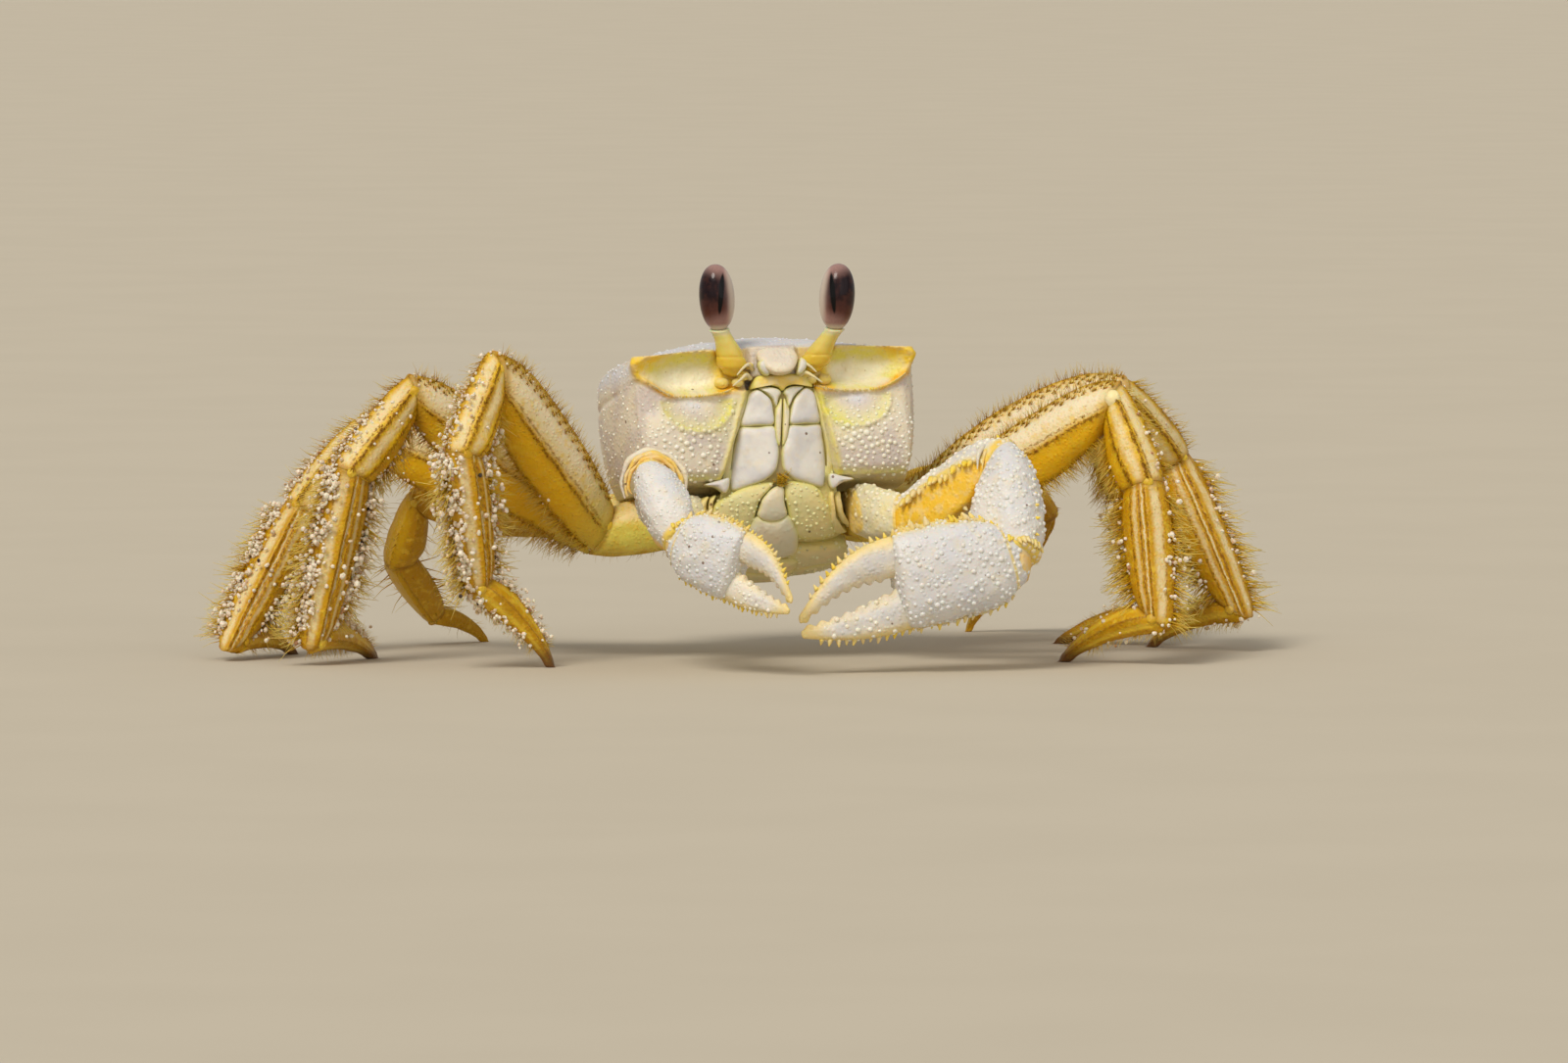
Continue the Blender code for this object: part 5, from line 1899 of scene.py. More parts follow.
@dataclass
class WalkingLeg:
    """One of the eight walking legs, in five segments with joint skins, fringes and clinging sand.

    A profile's rows are a share of the length, a half height and a half width.
    """

    name: str
    side: Side
    lengths: tuple[float, ...]
    foot: Place
    scale: float
    hair: float
    pose: tuple
    sand: float
    bow: float = 0.0
    curl: float = 28.0
    curl_steps: int = 5
    profiles: dict[str, tuple[Place, ...]] = field(default_factory=lambda: {
        "base": ((0.0, 2.6, 2.1), (0.3, 3.3, 2.4), (0.75, 3.5, 2.4), (1.0, 3.0, 2.1)),
        "merus": ((0.0, 3.0, 2.1), (0.2, 4.0, 2.5), (0.5, 4.5, 2.6), (0.8, 4.2, 2.5), (1.0, 2.7, 2.2)),
        "carpus": ((0.0, 2.4, 2.1), (0.3, 3.1, 2.8), (0.75, 3.4, 2.9), (1.0, 2.9, 2.5)),
        "propodus": ((0.0, 2.8, 2.4), (0.2, 3.3, 2.7), (0.6, 3.2, 2.6), (0.9, 2.6, 2.2), (1.0, 2.1, 1.8)),
        "dactyl": ((0.0, 1.9, 1.7), (0.15, 2.2, 1.9), (0.5, 1.7, 1.4), (0.85, 0.9, 0.8), (1.0, 0.5, 0.5))})
    ridges: dict[str, tuple[Ridge, ...]] = field(default_factory=lambda: {
        "base": (Ridge(0, 0.05, 14), Ridge(95, 0.04, 12)),
        "merus": (Ridge(0, 0.06, 7), Ridge(98, 0.05, 6), Ridge(180, 0.05, 8), Ridge(262, 0.05, 6)),
        "carpus": (Ridge(2, 0.06, 8), Ridge(64, 0.07, 7), Ridge(44, -0.03, 6), Ridge(118, 0.06, 8),
                   Ridge(180, 0.04, 9), Ridge(296, 0.07, 8)),
        "propodus": (Ridge(2, 0.09, 8), Ridge(46, -0.04, 12), Ridge(78, 0.10, 5), Ridge(89, -0.17, 5.5),
                     Ridge(100, 0.10, 5), Ridge(132, 0.05, 8), Ridge(178, 0.06, 8), Ridge(228, 0.05, 8),
                     Ridge(271, -0.08, 6), Ridge(310, 0.05, 8)),
        "dactyl": tuple(Ridge(start + angle, height, width) for start in (0, 180) for angle, height, width in (
            (0, 0.12, 10), (45, -0.08, 12), (90, 0.10, 9), (135, -0.08, 12)))})
    fringes: dict[str, tuple[Fringe, ...]] = field(default_factory=lambda: {
        "base": (Fringe(180, 12, 2.0, 0.9),),
        "merus": (Fringe(2, 9, 7.0, 1.5, 0.40, 0.5), Fringe(98, 2.4, 4.5, 0.6, 0.65, 0.8),
                  Fringe(86, 1.8, 3.0, 0.4, 0.75, 0.9), Fringe(22, 9, 13.0, 0.66, 0.40, 0.9, 1.7),
                  Fringe(176, 8, 9.0, 2.0, 0.30, 0.4), Fringe(262, 2.0, 4.0, 0.7, 0.7, 0.8)),
        "carpus": (Fringe(356, 9, 8.0, 1.8, 0.30), Fringe(64, 3.0, 6.0, 0.7, 0.8, 0.9),
                   Fringe(50, 1.6, 3.0, 0.4, 0.85, 0.9), Fringe(178, 9, 9.0, 2.3, 0.12),
                   Fringe(118, 2.6, 4.0, 0.7, 0.7, 0.9), Fringe(296, 2.5, 4.0, 0.9, 0.5, 0.8)),
        "propodus": (Fringe(352, 11, 13.0, 2.9, 0.06, 0.35), Fringe(182, 11, 13.0, 3.0, 0.06, 0.35),
                     Fringe(80, 1.6, 4.0, 0.45, 0.75, 0.9), Fringe(98, 1.6, 4.0, 0.45, 0.75, 0.9),
                     Fringe(124, 2.0, 3.0, 0.5, 0.7, 0.9), Fringe(228, 5, 4.0, 1.3, 0.2),
                     Fringe(310, 5, 4.0, 1.3, 0.2)),
        "dactyl": tuple(Fringe(start + angle, *line, 0.9 if start else 0.7, stop=0.8) for start, line in (
            (0, (9, 7.0, 1.2, 0.25)), (90, (5, 4.0, 0.8, 0.5))) for angle in (0, 180))})
    sand_cover: dict[str, tuple[float, float]] = field(default_factory=lambda: {
        "base": (0.0, 1.0), "merus": (0.12, 0.6), "carpus": (0.5, 0.45), "propodus": (1.0, 0.0),
        "dactyl": (0.7, 0.3)})
    sand_coats: tuple[Coat, ...] = (Coat(0.30, 0.22, 0.46, 15.0, 0.9), Coat(0.38, 0.26, 0.54, 15.0, 2.2))
    shell_grid: tuple[int, int] = (56, 56)
    base_rings: int = 30
    carrier_grid: tuple[int, int] = (40, 40)
    bulge: float = 0.55
    tip_bulge: float = 0.5
    short_hair: float = 0.8
    knee_scale: float = 1.55

    def arc(self, start: Array, first: float) -> Array:
        """Bend the dactyl down from its joint.

        Args:
            start: The joint.
            first: How steeply the dactyl leaves it.

        Returns:
            The places along it.
        """
        points = [start]
        for step in range(self.curl_steps):
            slope = first + self.curl * (step + 0.5) / self.curl_steps
            points.append(points[-1] + direction(self.pose[4], -slope) * (self.lengths[4] / self.curl_steps))
        return np.array(points)

    def dactyl_line(self, start: Array) -> Array:
        """Find the dactyl's arc that ends on the floor.

        Args:
            start: The joint.

        Returns:
            The places along it.
        """
        low, high = -self.curl, 90.0 - self.curl / 2
        for _ in range(40):
            middle = (low + high) / 2
            low, high = (middle, high) if self.arc(start, middle)[-1][2] > 0 else (low, middle)
        return self.arc(start, (low + high) / 2)

    def tubes(self) -> dict[str, Tube]:
        """Give the leg's segments, each mitred to its neighbours.

        Returns:
            The segments, by name.
        """
        sign = self.side.value
        start, lines = POSE.place_on(self.side, self.foot), []
        for length, (heading, rise) in zip(self.lengths, self.pose[:4]):
            lines.append(np.array((start, start + direction(heading, rise) * length)))
            start = lines[-1][-1]
        lines.append(self.dactyl_line(start))
        entering = [unit(line[1] - line[0]) for line in lines]
        leaving = [unit(line[-1] - line[-2]) for line in lines]
        cuts = [POSE.turn @ (sign, 0.0, 0.0), *(unit(a + b) for a, b in zip(leaving, entering[1:])),
                np.array((0.0, 0.0, -1.0))]
        tubes, across = {}, POSE.turn @ (0.0, -1.0, 0.0)
        for index, (name, line) in enumerate(zip(self.profiles, lines)):
            across = square_off(across, entering[index])
            tubes[name] = Tube(line, (cuts[index], cuts[index + 1]), across, sign,
                               sized(self.profiles[name], self.scale), LENS, self.ridges[name],
                               0.15 if name == "dactyl" else 0.3, self.bow if name == "merus" else 0.0)
        return tubes

    def sand_mask(self, name: str) -> Painter:
        """Say where sand clings on a segment: along its hairy edges.

        Args:
            name: The segment.

        Returns:
            The masks for shares, angles, outward directions and places.
        """
        amount, small = self.sand_cover[name]

        def paint(share: Array, angle: Array, outward: Array, places: Array) -> Masks:
            """Give the segment's painted masks.

            Args:
                share: How far along each point lies.
                angle: Its angle round the segment.
                outward: Its outward direction.
                places: Its place.

            Returns:
                The masks.
            """
            edges = sum(hump(apart(angle, at), width) for at, width in ((0, 26), (182, 28), (225, 24), (310, 24)))
            patch = ease(-0.55, 0.0, ripple(stack(share * 9, angle / 40, 0.0), 1.7, 31))
            where = (ease(0.0, 0.8, share) if name == "carpus" else ease(0.6, 1.0, share) * 0.9 + 0.1
                     if name == "merus" else ease(1.05, 0.75, share) * 0.5 + 0.5)
            grain = amount * self.sand * (1.6 * edges * (0.12 + 0.88 * patch) + 0.02) * where
            return {"grain": clamp(grain * ease(2.6, 3.6, places[..., 2])), "small": small}
        return paint

    def build(self, finishes: dict[str, Material], setae: Plant, tufts: Plant, sand: Scatter) -> None:
        """Make and hand over the leg's pieces.

        Args:
            finishes: The segment materials, by segment, with "skin" for the joints.
            setae: Plants the long, fine bristles.
            tufts: Plants the short, stout ones.
            sand: Scatters the sand.
        """
        tubes, prefix = self.tubes(), f"{self.name}_{self.side.word}"
        whole, joints, rows, short = Form(), Form(), [], []
        seed = SEED + 97 * int(self.name[-1]) + 13 * (self.side.value + 1)
        before = None
        for index, (name, tube) in enumerate(tubes.items()):
            form, last = Form(), name == "dactyl"
            bulges = (self.tip_bulge * self.scale, 0.0) if last else (self.bulge * self.scale,) * 2
            rings, corners = self.shell_grid
            tube.add_to(form, self.base_rings if name == "base" else rings, corners, bulges, grounded=last)
            tube.add_to(whole, *self.carrier_grid, bulges, self.sand_mask(name), grounded=last)
            hand_over(form.build(f"{prefix}_{name}_shell", finishes[name]), "leg_shell", f"{prefix}_{name}")
            for order, fringe in enumerate(self.fringes[name]):
                (short if fringe.length < self.short_hair else rows).append(tube.fringe(
                    replace(fringe, per_mm=fringe.per_mm * self.hair), seed + 7 * index + order, index, len(tubes)))
            if before:
                self.joint(joints, tube, before, (name, self.side) == ("carpus", Side.LEFT) and self.name != "leg_5")
            before = tube
        hand_over(joints.build(f"{prefix}_joint_skins", finishes["skin"]), "leg_shell")
        hand_over(setae.grow(f"{prefix}_setae", rows), "leg_shell")
        hand_over(tufts.grow(f"{prefix}_tufts", short), "leg_shell")
        if self.sand:
            carrier = whole.build(f"{prefix}_carrier", finishes["skin"])
            for layer, coat in enumerate(self.sand_coats):
                hand_over(sand.grow(f"{prefix}_sand_{layer}", carrier, coat, seed + layer), "leg_shell")
            bpy.data.objects.remove(carrier)

    def joint(self, form: Form, tube: Tube, before: Tube, knee: bool) -> None:
        """Fill a joint with its soft skin and set the hard knobs beside it.

        Args:
            form: The mesh in the making.
            tube: The segment beyond the joint.
            before: The segment it hangs on.
            knee: Whether the knobs are large and pale.
        """
        along = unit(before.along[-1] + tube.along[0])
        forward = square_off(tube.forward[0], along)
        upward = np.cross(forward, along)
        high, wide = (before.profile[-1][1:] + tube.profile[0][1:]) / 2
        add_ball(form, tube.line[0], np.array((forward * wide * 0.93, upward * high * 0.93, along * high * 0.55)),
                 {"orange": 0.5, "gold": 0.4})
        bulk = self.scale * (self.knee_scale if knee else 1.0)
        for turn in (1, -1):
            add_ball(form, tube.line[0] + forward * turn * wide * 0.78 + upward * high * 0.35 * tube.side,
                     np.array((forward * 0.55, upward * 0.85, along * 0.75)) * bulk,
                     {"gold": 0.1, "milk": 0.6 if knee else 0.0}, 10)


@dataclass
class LegSet:
    """The sizes and poses of all eight walking legs.

    A pair shares its lengths, foot, scale and hair. Each leg has its own pose, sand and bow.
    """

    pairs: dict[str, tuple] = field(default_factory=lambda: {
        "leg_2": ((12.0, 30.0, 12.5, 18.5, 16.0), (11.0, 9.4, -21.4), 1.0, 1.5),
        "leg_3": ((12.0, 33.5, 14.0, 23.0, 16.5), (11.0, 15.0, -21.4), 1.0, 1.5),
        "leg_4": ((12.0, 33.0, 14.0, 21.0, 15.0), (10.9, 20.8, -19.6), 0.95, 1.3),
        "leg_5": ((10.5, 24.5, 9.5, 13.0, 11.0), (9.9, 26.0, -17.8), 0.78, 0.15)})
    own: tuple = (
        ("leg_2", Side.RIGHT, ((180, -4), (-135, 46), (-124, -55), (57, -78), 25), 0.85),
        ("leg_3", Side.RIGHT, ((179, -4), (-156, 35), (-146, -47), (163, -77), 62), 0.8),
        ("leg_4", Side.RIGHT, ((178, -4), (179, 22), (-163, -49), (-133, -54), 60), 0.65),
        ("leg_5", Side.RIGHT, ((176, -6), (180, 4), (125, -59), (63, -39), 45), 0.0),
        ("leg_2", Side.LEFT, ((-8, -3), (-6, 32), (-50, -59), (-78, -72), 150), 0.10, 0.5),
        ("leg_3", Side.LEFT, ((24, 2), (3, 29), (46, -42), (-42, -60), 140), 0.08, 2.2),
        ("leg_4", Side.LEFT, ((27, 0), (24, 20), (60, -50), (-75, -50), 165), 0.05),
        ("leg_5", Side.LEFT, ((24, -2), (38, 8), (46, -39), (120, -46), 150), 0.0))

    def legs(self) -> list[WalkingLeg]:
        """Give the eight legs."""
        return [WalkingLeg(name, side, *self.pairs[name], *own) for name, side, *own in self.own]


# ---------------------------------------------------------------- claws


def rounded_square(points: int = 24, power: float = 2.6) -> Array:
    """Give a rounded-square section of unit half sizes, from its top by way of its front."""
    corners = stack(np.sin(circle(points)), np.cos(circle(points)))
    return corners * (np.abs(corners) ** power).sum(1, keepdims=True) ** (-1 / power)


@dataclass
class Claw:
    """One claw: base, merus, carpus, palm with its fixed finger, and the free finger."""

    side: Side
    joints: tuple[Place, ...]
    scale: float
    foot: Place = (10.6, 3.2, -21.2)
    profiles: dict[str, tuple[Place, ...]] = field(default_factory=lambda: {
        "base": ((0.0, 3.0, 2.3), (0.35, 3.7, 2.8), (1.0, 3.1, 2.5)),
        "merus": ((0.0, 3.0, 2.5), (0.3, 4.2, 3.2), (0.7, 4.9, 3.5), (1.0, 3.4, 2.9)),
        "carpus": ((0.0, 3.3, 2.9), (0.3, 5.0, 4.1), (0.65, 5.2, 4.3), (1.0, 3.6, 3.2)),
        "palm": ((0.0, 4.0, 3.0), (0.22, 6.0, 4.0), (0.6, 6.6, 4.3), (0.9, 6.7, 3.9), (1.0, 6.5, 3.6))})
    ridges: dict[str, tuple[Ridge, ...]] = field(default_factory=lambda: {
        "base": (Ridge(20, 0.06, 12), Ridge(95, 0.05, 12)),
        "merus": (Ridge(0, 0.04, 9), Ridge(78, 0.07, 8), Ridge(110, -0.12, 20), Ridge(150, 0.07, 9)),
        "carpus": (Ridge(60, 0.05, 10), Ridge(300, 0.05, 10), Ridge(180, -0.05, 20)),
        "palm": (Ridge(2, 0.05, 8), Ridge(182, 0.05, 9), Ridge(270, 0.03, 40))})
    spine_rows: tuple = (
        ("merus", 80, 0.85, 1.1, 0.10, 0.94), ("merus", 2, 1.3, 0.5, 0.10, 0.94),
        ("merus", 158, 1.3, 0.8, 0.15, 0.9), ("carpus", 180, 0.9, 1.0, 0.08, 0.98),
        ("carpus", 2, 1.2, 0.6, 0.25, 0.98), ("palm", 354, 0.95, 1.0, 0.04, 1.0), ("palm", 6, 1.2, 0.8, 0.06, 0.98),
        ("palm", 346, 1.5, 0.6, 0.06, 0.98), ("palm", 186, 1.1, 0.7, 0.1, 0.98))
    cuff_folds: dict[Side, tuple] = field(default_factory=lambda: {
        Side.RIGHT: (((5.45, 0.46), (4.75, 0.42), (4.1, 0.36)), 118, 0.80),
        Side.LEFT: (((3.75, 0.34), (3.3, 0.30)), 80, 1.0)})
    cuff_gold: tuple[float, ...] = (0.15, 0.75, 0.7)
    cuff_pitch: float = 0.55
    cuff_grid: tuple[int, int] = (60, 14)
    bulge: float = 0.9
    palm_bulges: tuple[float, float] = (1.3, 1.0)
    wrist: Place = (3.0, 4.0, 2.2)
    finger_base: float = 3.0
    finger_tip: float = 0.6
    finger_rings: int = 54
    finger_section: tuple[int, float] = (28, 2.2)
    finger_thickness: float = 0.62
    finger_spines: int = 13
    rim_count: int = 26
    teeth: int = 9
    tooth: float = 0.55
    shell_grid: tuple[int, int] = (64, 72)
    coat: Coat = Coat(0.76, 0.26, 0.46, 3.4, -0.32)

    def tubes(self) -> dict[str, Tube]:
        """Give the claw's four tubes, each mitred to its neighbours.

        Returns:
            The tubes, by name.
        """
        sign, section = self.side.value, rounded_square()
        points = np.array((POSE.place_on(self.side, self.foot), *self.joints[:4]))
        runs = [unit(run) for run in np.diff(points, axis=0)]
        cuts = [POSE.turn @ (sign, 0.0, 0.0), *(unit(a + b) for a, b in zip(runs, runs[1:])), runs[3]]
        planes = list(zip(cuts, cuts[1:]))
        planes[2] = cuts[2], unit(runs[2] + 0.25 * runs[3])
        planes[3] = unit(runs[3] + 0.15 * runs[2]), cuts[4]
        tubes, across = {}, POSE.turn @ (0.0, -1.0, 0.0)
        for index, name in enumerate(self.profiles):
            across = square_off(across, runs[index])
            if name == "palm":
                across = unit(np.cross(runs[index], (0.0, 0.0, 1.0))) * sign
            tubes[name] = Tube(points[index:index + 2], planes[index], across, sign,
                               sized(self.profiles[name], self.scale), section, self.ridges[name])
        return tubes

    def masks(self, name: str) -> Painter:
        """Give the painted masks of a segment.

        Args:
            name: The segment.

        Returns:
            The masks for shares, angles, outward directions and places.
        """
        left = self.side is Side.LEFT

        def paint(share: Array, angle: Array, outward: Array, places: Array) -> Masks:
            """Give the segment's painted masks.

            Args:
                share: How far along each point lies.
                angle: Its angle round the segment.
                outward: Its outward direction.
                places: Its place.

            Returns:
                The masks.
            """
            ends = ease(0.93, 1.0, share) + ease(0.06, 0.0, share)
            wave = 6 * (0.5 + 0.5 * np.sin(share * 40 + np.sin(share * 23) * 2))
            upper, lower = hump(apart(angle, 0), 20), apart(angle, 180)
            inner = ease(70 + wave, 84 + wave, angle) * ease(176, 160, angle)
            under = ease(0.15, 0.65, -outward[..., 2]) * ease(0.1, 0.5, outward[..., 1] + 0.35)
            found = {
                "base": {"lime": 0.30, "gold": 0.15 + 0.5 * ends, "orange": ends * 0.25,
                         "grain": 0.8 * hump(apart(angle, 60), 80)},
                "merus": {"lime": 0.15 * inner, "gold": inner + ease(0.86, 0.97, share) * 0.8,
                          "orange": inner * 0.5 + 0.3 * ends, "edge": hump(apart(angle, 76), 7),
                          "grain": clamp(1.0 - inner * 1.2) * ease(1.0, 0.9, share)},
                "carpus": {"gold": under * 0.8 + 0.5 * ends, "orange": under + ends * 0.3, "blue": 0.5,
                           "edge": ends + hump(lower, 9) * left, "grain": 1.0 - under * 1.3,
                           "small": 0.0 if left else 0.5},
                "palm": {"gold": 0.30 * upper + hump(share - 0.07, 0.012), "edge": upper + hump(lower, 14),
                         "grain": 0.95, "blue": 0.7}}[name]
            return {mask: clamp(value) for mask, value in found.items()}
        return paint

    def finger(self, form: Form, root: Array, tip: Array, tube: Tube, half: float, bow: float, bite: int) -> Row:
        """Add one finger, bowed and tapering, with teeth along its biting edge.

        Args:
            form: The mesh in the making.
            root: Its root.
            tip: Its tip.
            tube: The palm, for its axes.
            half: Half its height at the root.
            bow: How far it bows upwards.
            bite: 1 where its teeth point up, -1 where they point down.

        Returns:
            The roots of its spines.
        """
        upward, forward = tube.upward[-1], tube.forward[-1]
        along, length = unit(tip - root), float(np.linalg.norm(tip - root))
        share = np.linspace(0, 1, self.finger_rings)
        high = half + (self.finger_tip * self.scale - half) * share ** 1.3
        centre = root + along * (length * share)[:, None] + upward * (bow * np.sin(math.pi * share))[:, None]
        side, top = rounded_square(*self.finger_section).T
        tooth = np.abs(np.sin(share * math.pi * self.teeth)) ** 1.5 * self.tooth * self.scale * ease(0.05, 0.2, share)
        lift = top * high[:, None] + np.where(top * bite > 0.85, 1.0, 0.0) * (tooth * bite)[:, None]
        wide = side * (high * self.finger_thickness)[:, None]
        rings = centre[:, None] + forward * wide[..., None] + upward * lift[..., None]
        rings = rings + (ripple(rings, 2.2, 9) * 0.07)[..., None] * forward
        SKIN.close(form, rings, (0.6, 0.35), {
            "edge": clamp(ease(0.3, 0.9, top * -bite) + ease(0.7, 1.0, share)[:, None]) * 0.8,
            "gold": 0.25 * ease(0.5, 0.95, top * bite), "grain": 0.7 * ease(0.95, 0.7, share)[:, None]})
        draw, count = np.random.default_rng(SEED + 40 + bite), self.finger_spines
        where = np.linspace(0.04, 0.86, count)
        place = stack(*(np.interp(where, share, column) for column in centre.T))
        place = place - upward * bite * (np.interp(where, share, high) - 0.1)[:, None]
        aims = -upward * bite + along * 0.35 + draw.normal(0, 0.15, (count, 3))
        return Row(place, aims, draw.uniform(0.55, 0.95, count) * self.scale * 1.1)

    def spines(self, tubes: dict[str, Tube]) -> list[Row]:
        """Give the rows of spines along the margins of the merus, carpus and palm, and round the carpus's end.

        Args:
            tubes: The claw's tubes.

        Returns:
            The roots, row by row.
        """
        draw, rows = np.random.default_rng(SEED + 3 + self.side.value), []
        for name, angle, pitch, length, start, stop in self.spine_rows:
            if name == "carpus" and self.side is Side.RIGHT:
                continue
            tube = tubes[name]
            count = max(4, int(tube.length * (stop - start) / (pitch * self.scale)))
            share = np.linspace(start, stop, count) + draw.normal(0, 0.006, count)
            places, outward = tube.surface(share, angle + draw.normal(0, 2.0, count))
            aims = outward + tube.at(tube.along, share) * 0.30 + draw.normal(0, 0.16, (count, 3))
            if (name, angle) == ("merus", 80):
                aims = outward * 0.7 - tube.upward[0] * 0.9 + draw.normal(0, 0.15, (count, 3))
            sizes = length * draw.uniform(0.45, 1.25, count) * self.scale + 0.12
            rows.append(Row(places - outward * 0.12, aims, sizes))
        tube, count = tubes["carpus"], self.rim_count
        angle = np.linspace(-20, 200, count) + draw.normal(0, 2.0, count)
        places, outward = tube.surface(0.955 + draw.normal(0, 0.008, count), angle)
        aims = outward * 0.6 + tube.along[-1] + draw.normal(0, 0.15, (count, 3))
        return [*rows, Row(places - outward * 0.1, aims, draw.uniform(0.5, 1.0, count) * self.scale + 0.1)]

    def cuffs(self, form: Form, tubes: dict[str, Tube]) -> None:
        """Add the yellow folds that ring the merus's far end round the carpus.

        Args:
            form: The mesh in the making.
            tubes: The claw's tubes.
        """
        along = unit(tubes["merus"].along[-1] + 0.35 * tubes["carpus"].along[0])
        forward = unit(np.cross(along, (0.0, 0.0, 1.0)))
        upward = np.cross(forward, along)
        upward = upward * np.sign(upward[2])
        folds, span, share = self.cuff_folds[self.side]
        turn = np.radians(np.linspace(-span, span, self.cuff_grid[0]))
        out = forward[None] * np.sin(turn)[:, None] + upward[None] * np.cos(turn)[:, None]
        for step, (reach, thick) in enumerate(folds):
            wave = 0.10 * np.sin(turn * 3.1 + step) + 0.05 * np.sin(turn * 9.0 + 2 * step)
            place = np.array(self.joints[1]) + along * (self.cuff_pitch * step - 0.7)
            line = place + out * (reach * share + wave)[:, None]
            taper = np.cos(turn / math.radians(span) * 1.5) ** 0.5 * (1 + 2 * wave)
            SKIN.close(form, wrap(line, thick * taper, out, along[None], self.cuff_grid[1]), (0.15, 0.15), {
                "gold": self.cuff_gold[step], "orange": 0.3 * step})

    def build(self, finish: Material, spine: Plant, granule: Scatter) -> None:
        """Make and hand over the claw's pieces.

        Args:
            finish: The shell's material.
            spine: Plants the spines.
            granule: Scatters the granules.
        """
        tubes, prefix, scale = self.tubes(), f"claw_{self.side.word}", self.scale
        rows, palm = self.spines(tubes), tubes["palm"]
        end, tip = np.array(self.joints[3]), np.array(self.joints[4])
        upward, along = palm.upward[-1], palm.along[-1]
        half, high, coat = self.finger_base * scale, self.profiles["palm"][-1][1] * scale, self.coat.scaled(scale)
        for name, tube in tubes.items():
            form, bulges = Form(), np.array(self.palm_bulges if name == "palm" else (self.bulge, self.bulge))
            tube.add_to(form, *self.shell_grid, tuple(bulges * scale), self.masks(name), rough=0.12)
            if name == "merus":
                self.cuffs(form, tubes)
            if name == "carpus":
                axes = np.stack((palm.forward[0], palm.upward[0], palm.along[0])) * np.array(self.wrist)[:, None]
                add_ball(form, np.array(self.joints[2]) - palm.along[0] * 0.2, axes * scale,
                         {"gold": 0.5, "orange": 0.45})
            if name == "palm":
                rows.append(self.finger(form, end - upward * (high - half) - along * 2.0 * scale,
                                        tip - upward * 1.1 * scale, palm, half, -0.8 * scale, 1))
            piece = form.build(f"{prefix}_{name}_shell", finish)
            hand_over(piece, "claw_shell", f"{prefix}_{name}")
            hand_over(granule.grow(f"{prefix}_{name}_granules", piece, coat, SEED + 9), "claw_shell")
        form = Form()
        rows.append(self.finger(form, end + upward * (high - half) + along * 0.3, tip + upward * 1.1 * scale, palm,
                                half * 0.95, 1.8 * scale, -1))
        hand_over(form.build(f"{prefix}_finger_shell", finish), "claw_shell", f"{prefix}_finger")
        hand_over(spine.grow(f"{prefix}_spines", rows), "claw_shell")


# ---------------------------------------------------------------- studio


@dataclass(frozen=True)
class FloorFinish:
    """Plain pale studio floor."""

    base: Colour = tint(197, 187, 168)
    shade: Colour = tint(195, 185, 166)

    def make(self) -> Material:
        """Make the material.

        Returns:
            The material.
        """
        graph = Graph("studio_floor", self.base)
        graph.lay(graph.noise(40.0, 2.0).ease(0.30, 0.70), self.shade)
        return graph.finish(0.9, Specular_IOR_Level=0.2)


@dataclass
class Studio:
    """Plain pale floor, soft light and the camera."""

    target: Place = (1.49, -1.46, 18.19)
    elevation: float = 3.5
    distance: float = 1600.0
    lens: float = 266.4
    floor_half: float = 40000.0
    lights: tuple = (("key", (-0.50, -0.90, 1.15), 22.0, 1.98, (1.0, 0.955, 0.885)),
                     ("fill", (0.9, -0.9, 0.45), 60.0, 0.36, (0.96, 0.98, 1.0)),
                     ("front", (-0.1, -1.0, 0.10), 90.0, 0.42, (1.0, 0.96, 0.88)))
    sky: Colour = tint(232, 230, 226)
    sky_strength: float = 0.56

    def build(self) -> None:
        """Make the floor, the lights and the camera."""
        half = self.floor_half * MM
        mesh = bpy.data.meshes.new("studio_floor")
        mesh.from_pydata([(-half, -half, 0), (half, -half, 0), (half, half, 0), (-half, half, 0)], [], [(0, 1, 2, 3)])
        mesh.materials.append(FloorFinish().make())
        show("studio_floor", mesh)
        for light in self.lights:
            self.light(*light)
        world = bpy.data.worlds.new("studio")
        world.use_nodes = True
        backdrop = world.node_tree.nodes["Background"].inputs
        backdrop["Color"].default_value, backdrop["Strength"].default_value = self.sky, self.sky_strength
        scene = bpy.context.scene
        scene.world = world
        scene.view_settings.view_transform, scene.view_settings.look = "Standard", "None"
        self.camera()

    def light(self, name: str, offset: Place, softness: float, power: float, colour: Place) -> None:
        """Hang one soft, even light, turned to the animal.

        Args:
            name: The light's name.
            offset: Its place from the camera's aim, in metres.
            softness: How wide it looks from the animal, in degrees.
            power: Its power on a square metre.
            colour: Its linear colour.
        """
        lamp = bpy.data.lights.new(name, "SUN")
        lamp.angle, lamp.energy, lamp.color = math.radians(softness), power, colour
        holder = show(name, lamp)
        holder.location = ANCHOR.world(self.target) + np.array(offset)
        x, y, z = offset
        holder.rotation_euler = (math.atan2(math.hypot(x, y), z), 0.0, math.atan2(y, x) + math.pi / 2)

    def camera(self) -> None:
        """Make the camera, low in front of the animal."""
        lens = bpy.data.cameras.new("camera")
        lens.lens, lens.sensor_width, lens.sensor_fit = self.lens, 36.0, "HORIZONTAL"
        lens.clip_start, lens.clip_end = 0.05, 100.0
        holder, rise = show("camera", lens), math.radians(self.elevation)
        away = np.array((0.0, -math.cos(rise), math.sin(rise))) * self.distance
        holder.location = ANCHOR.world(self.target) + away * MM
        holder.rotation_euler = (math.pi / 2 - rise, 0.0, 0.0)
        bpy.context.scene.camera = holder


# ---------------------------------------------------------------- whole animal


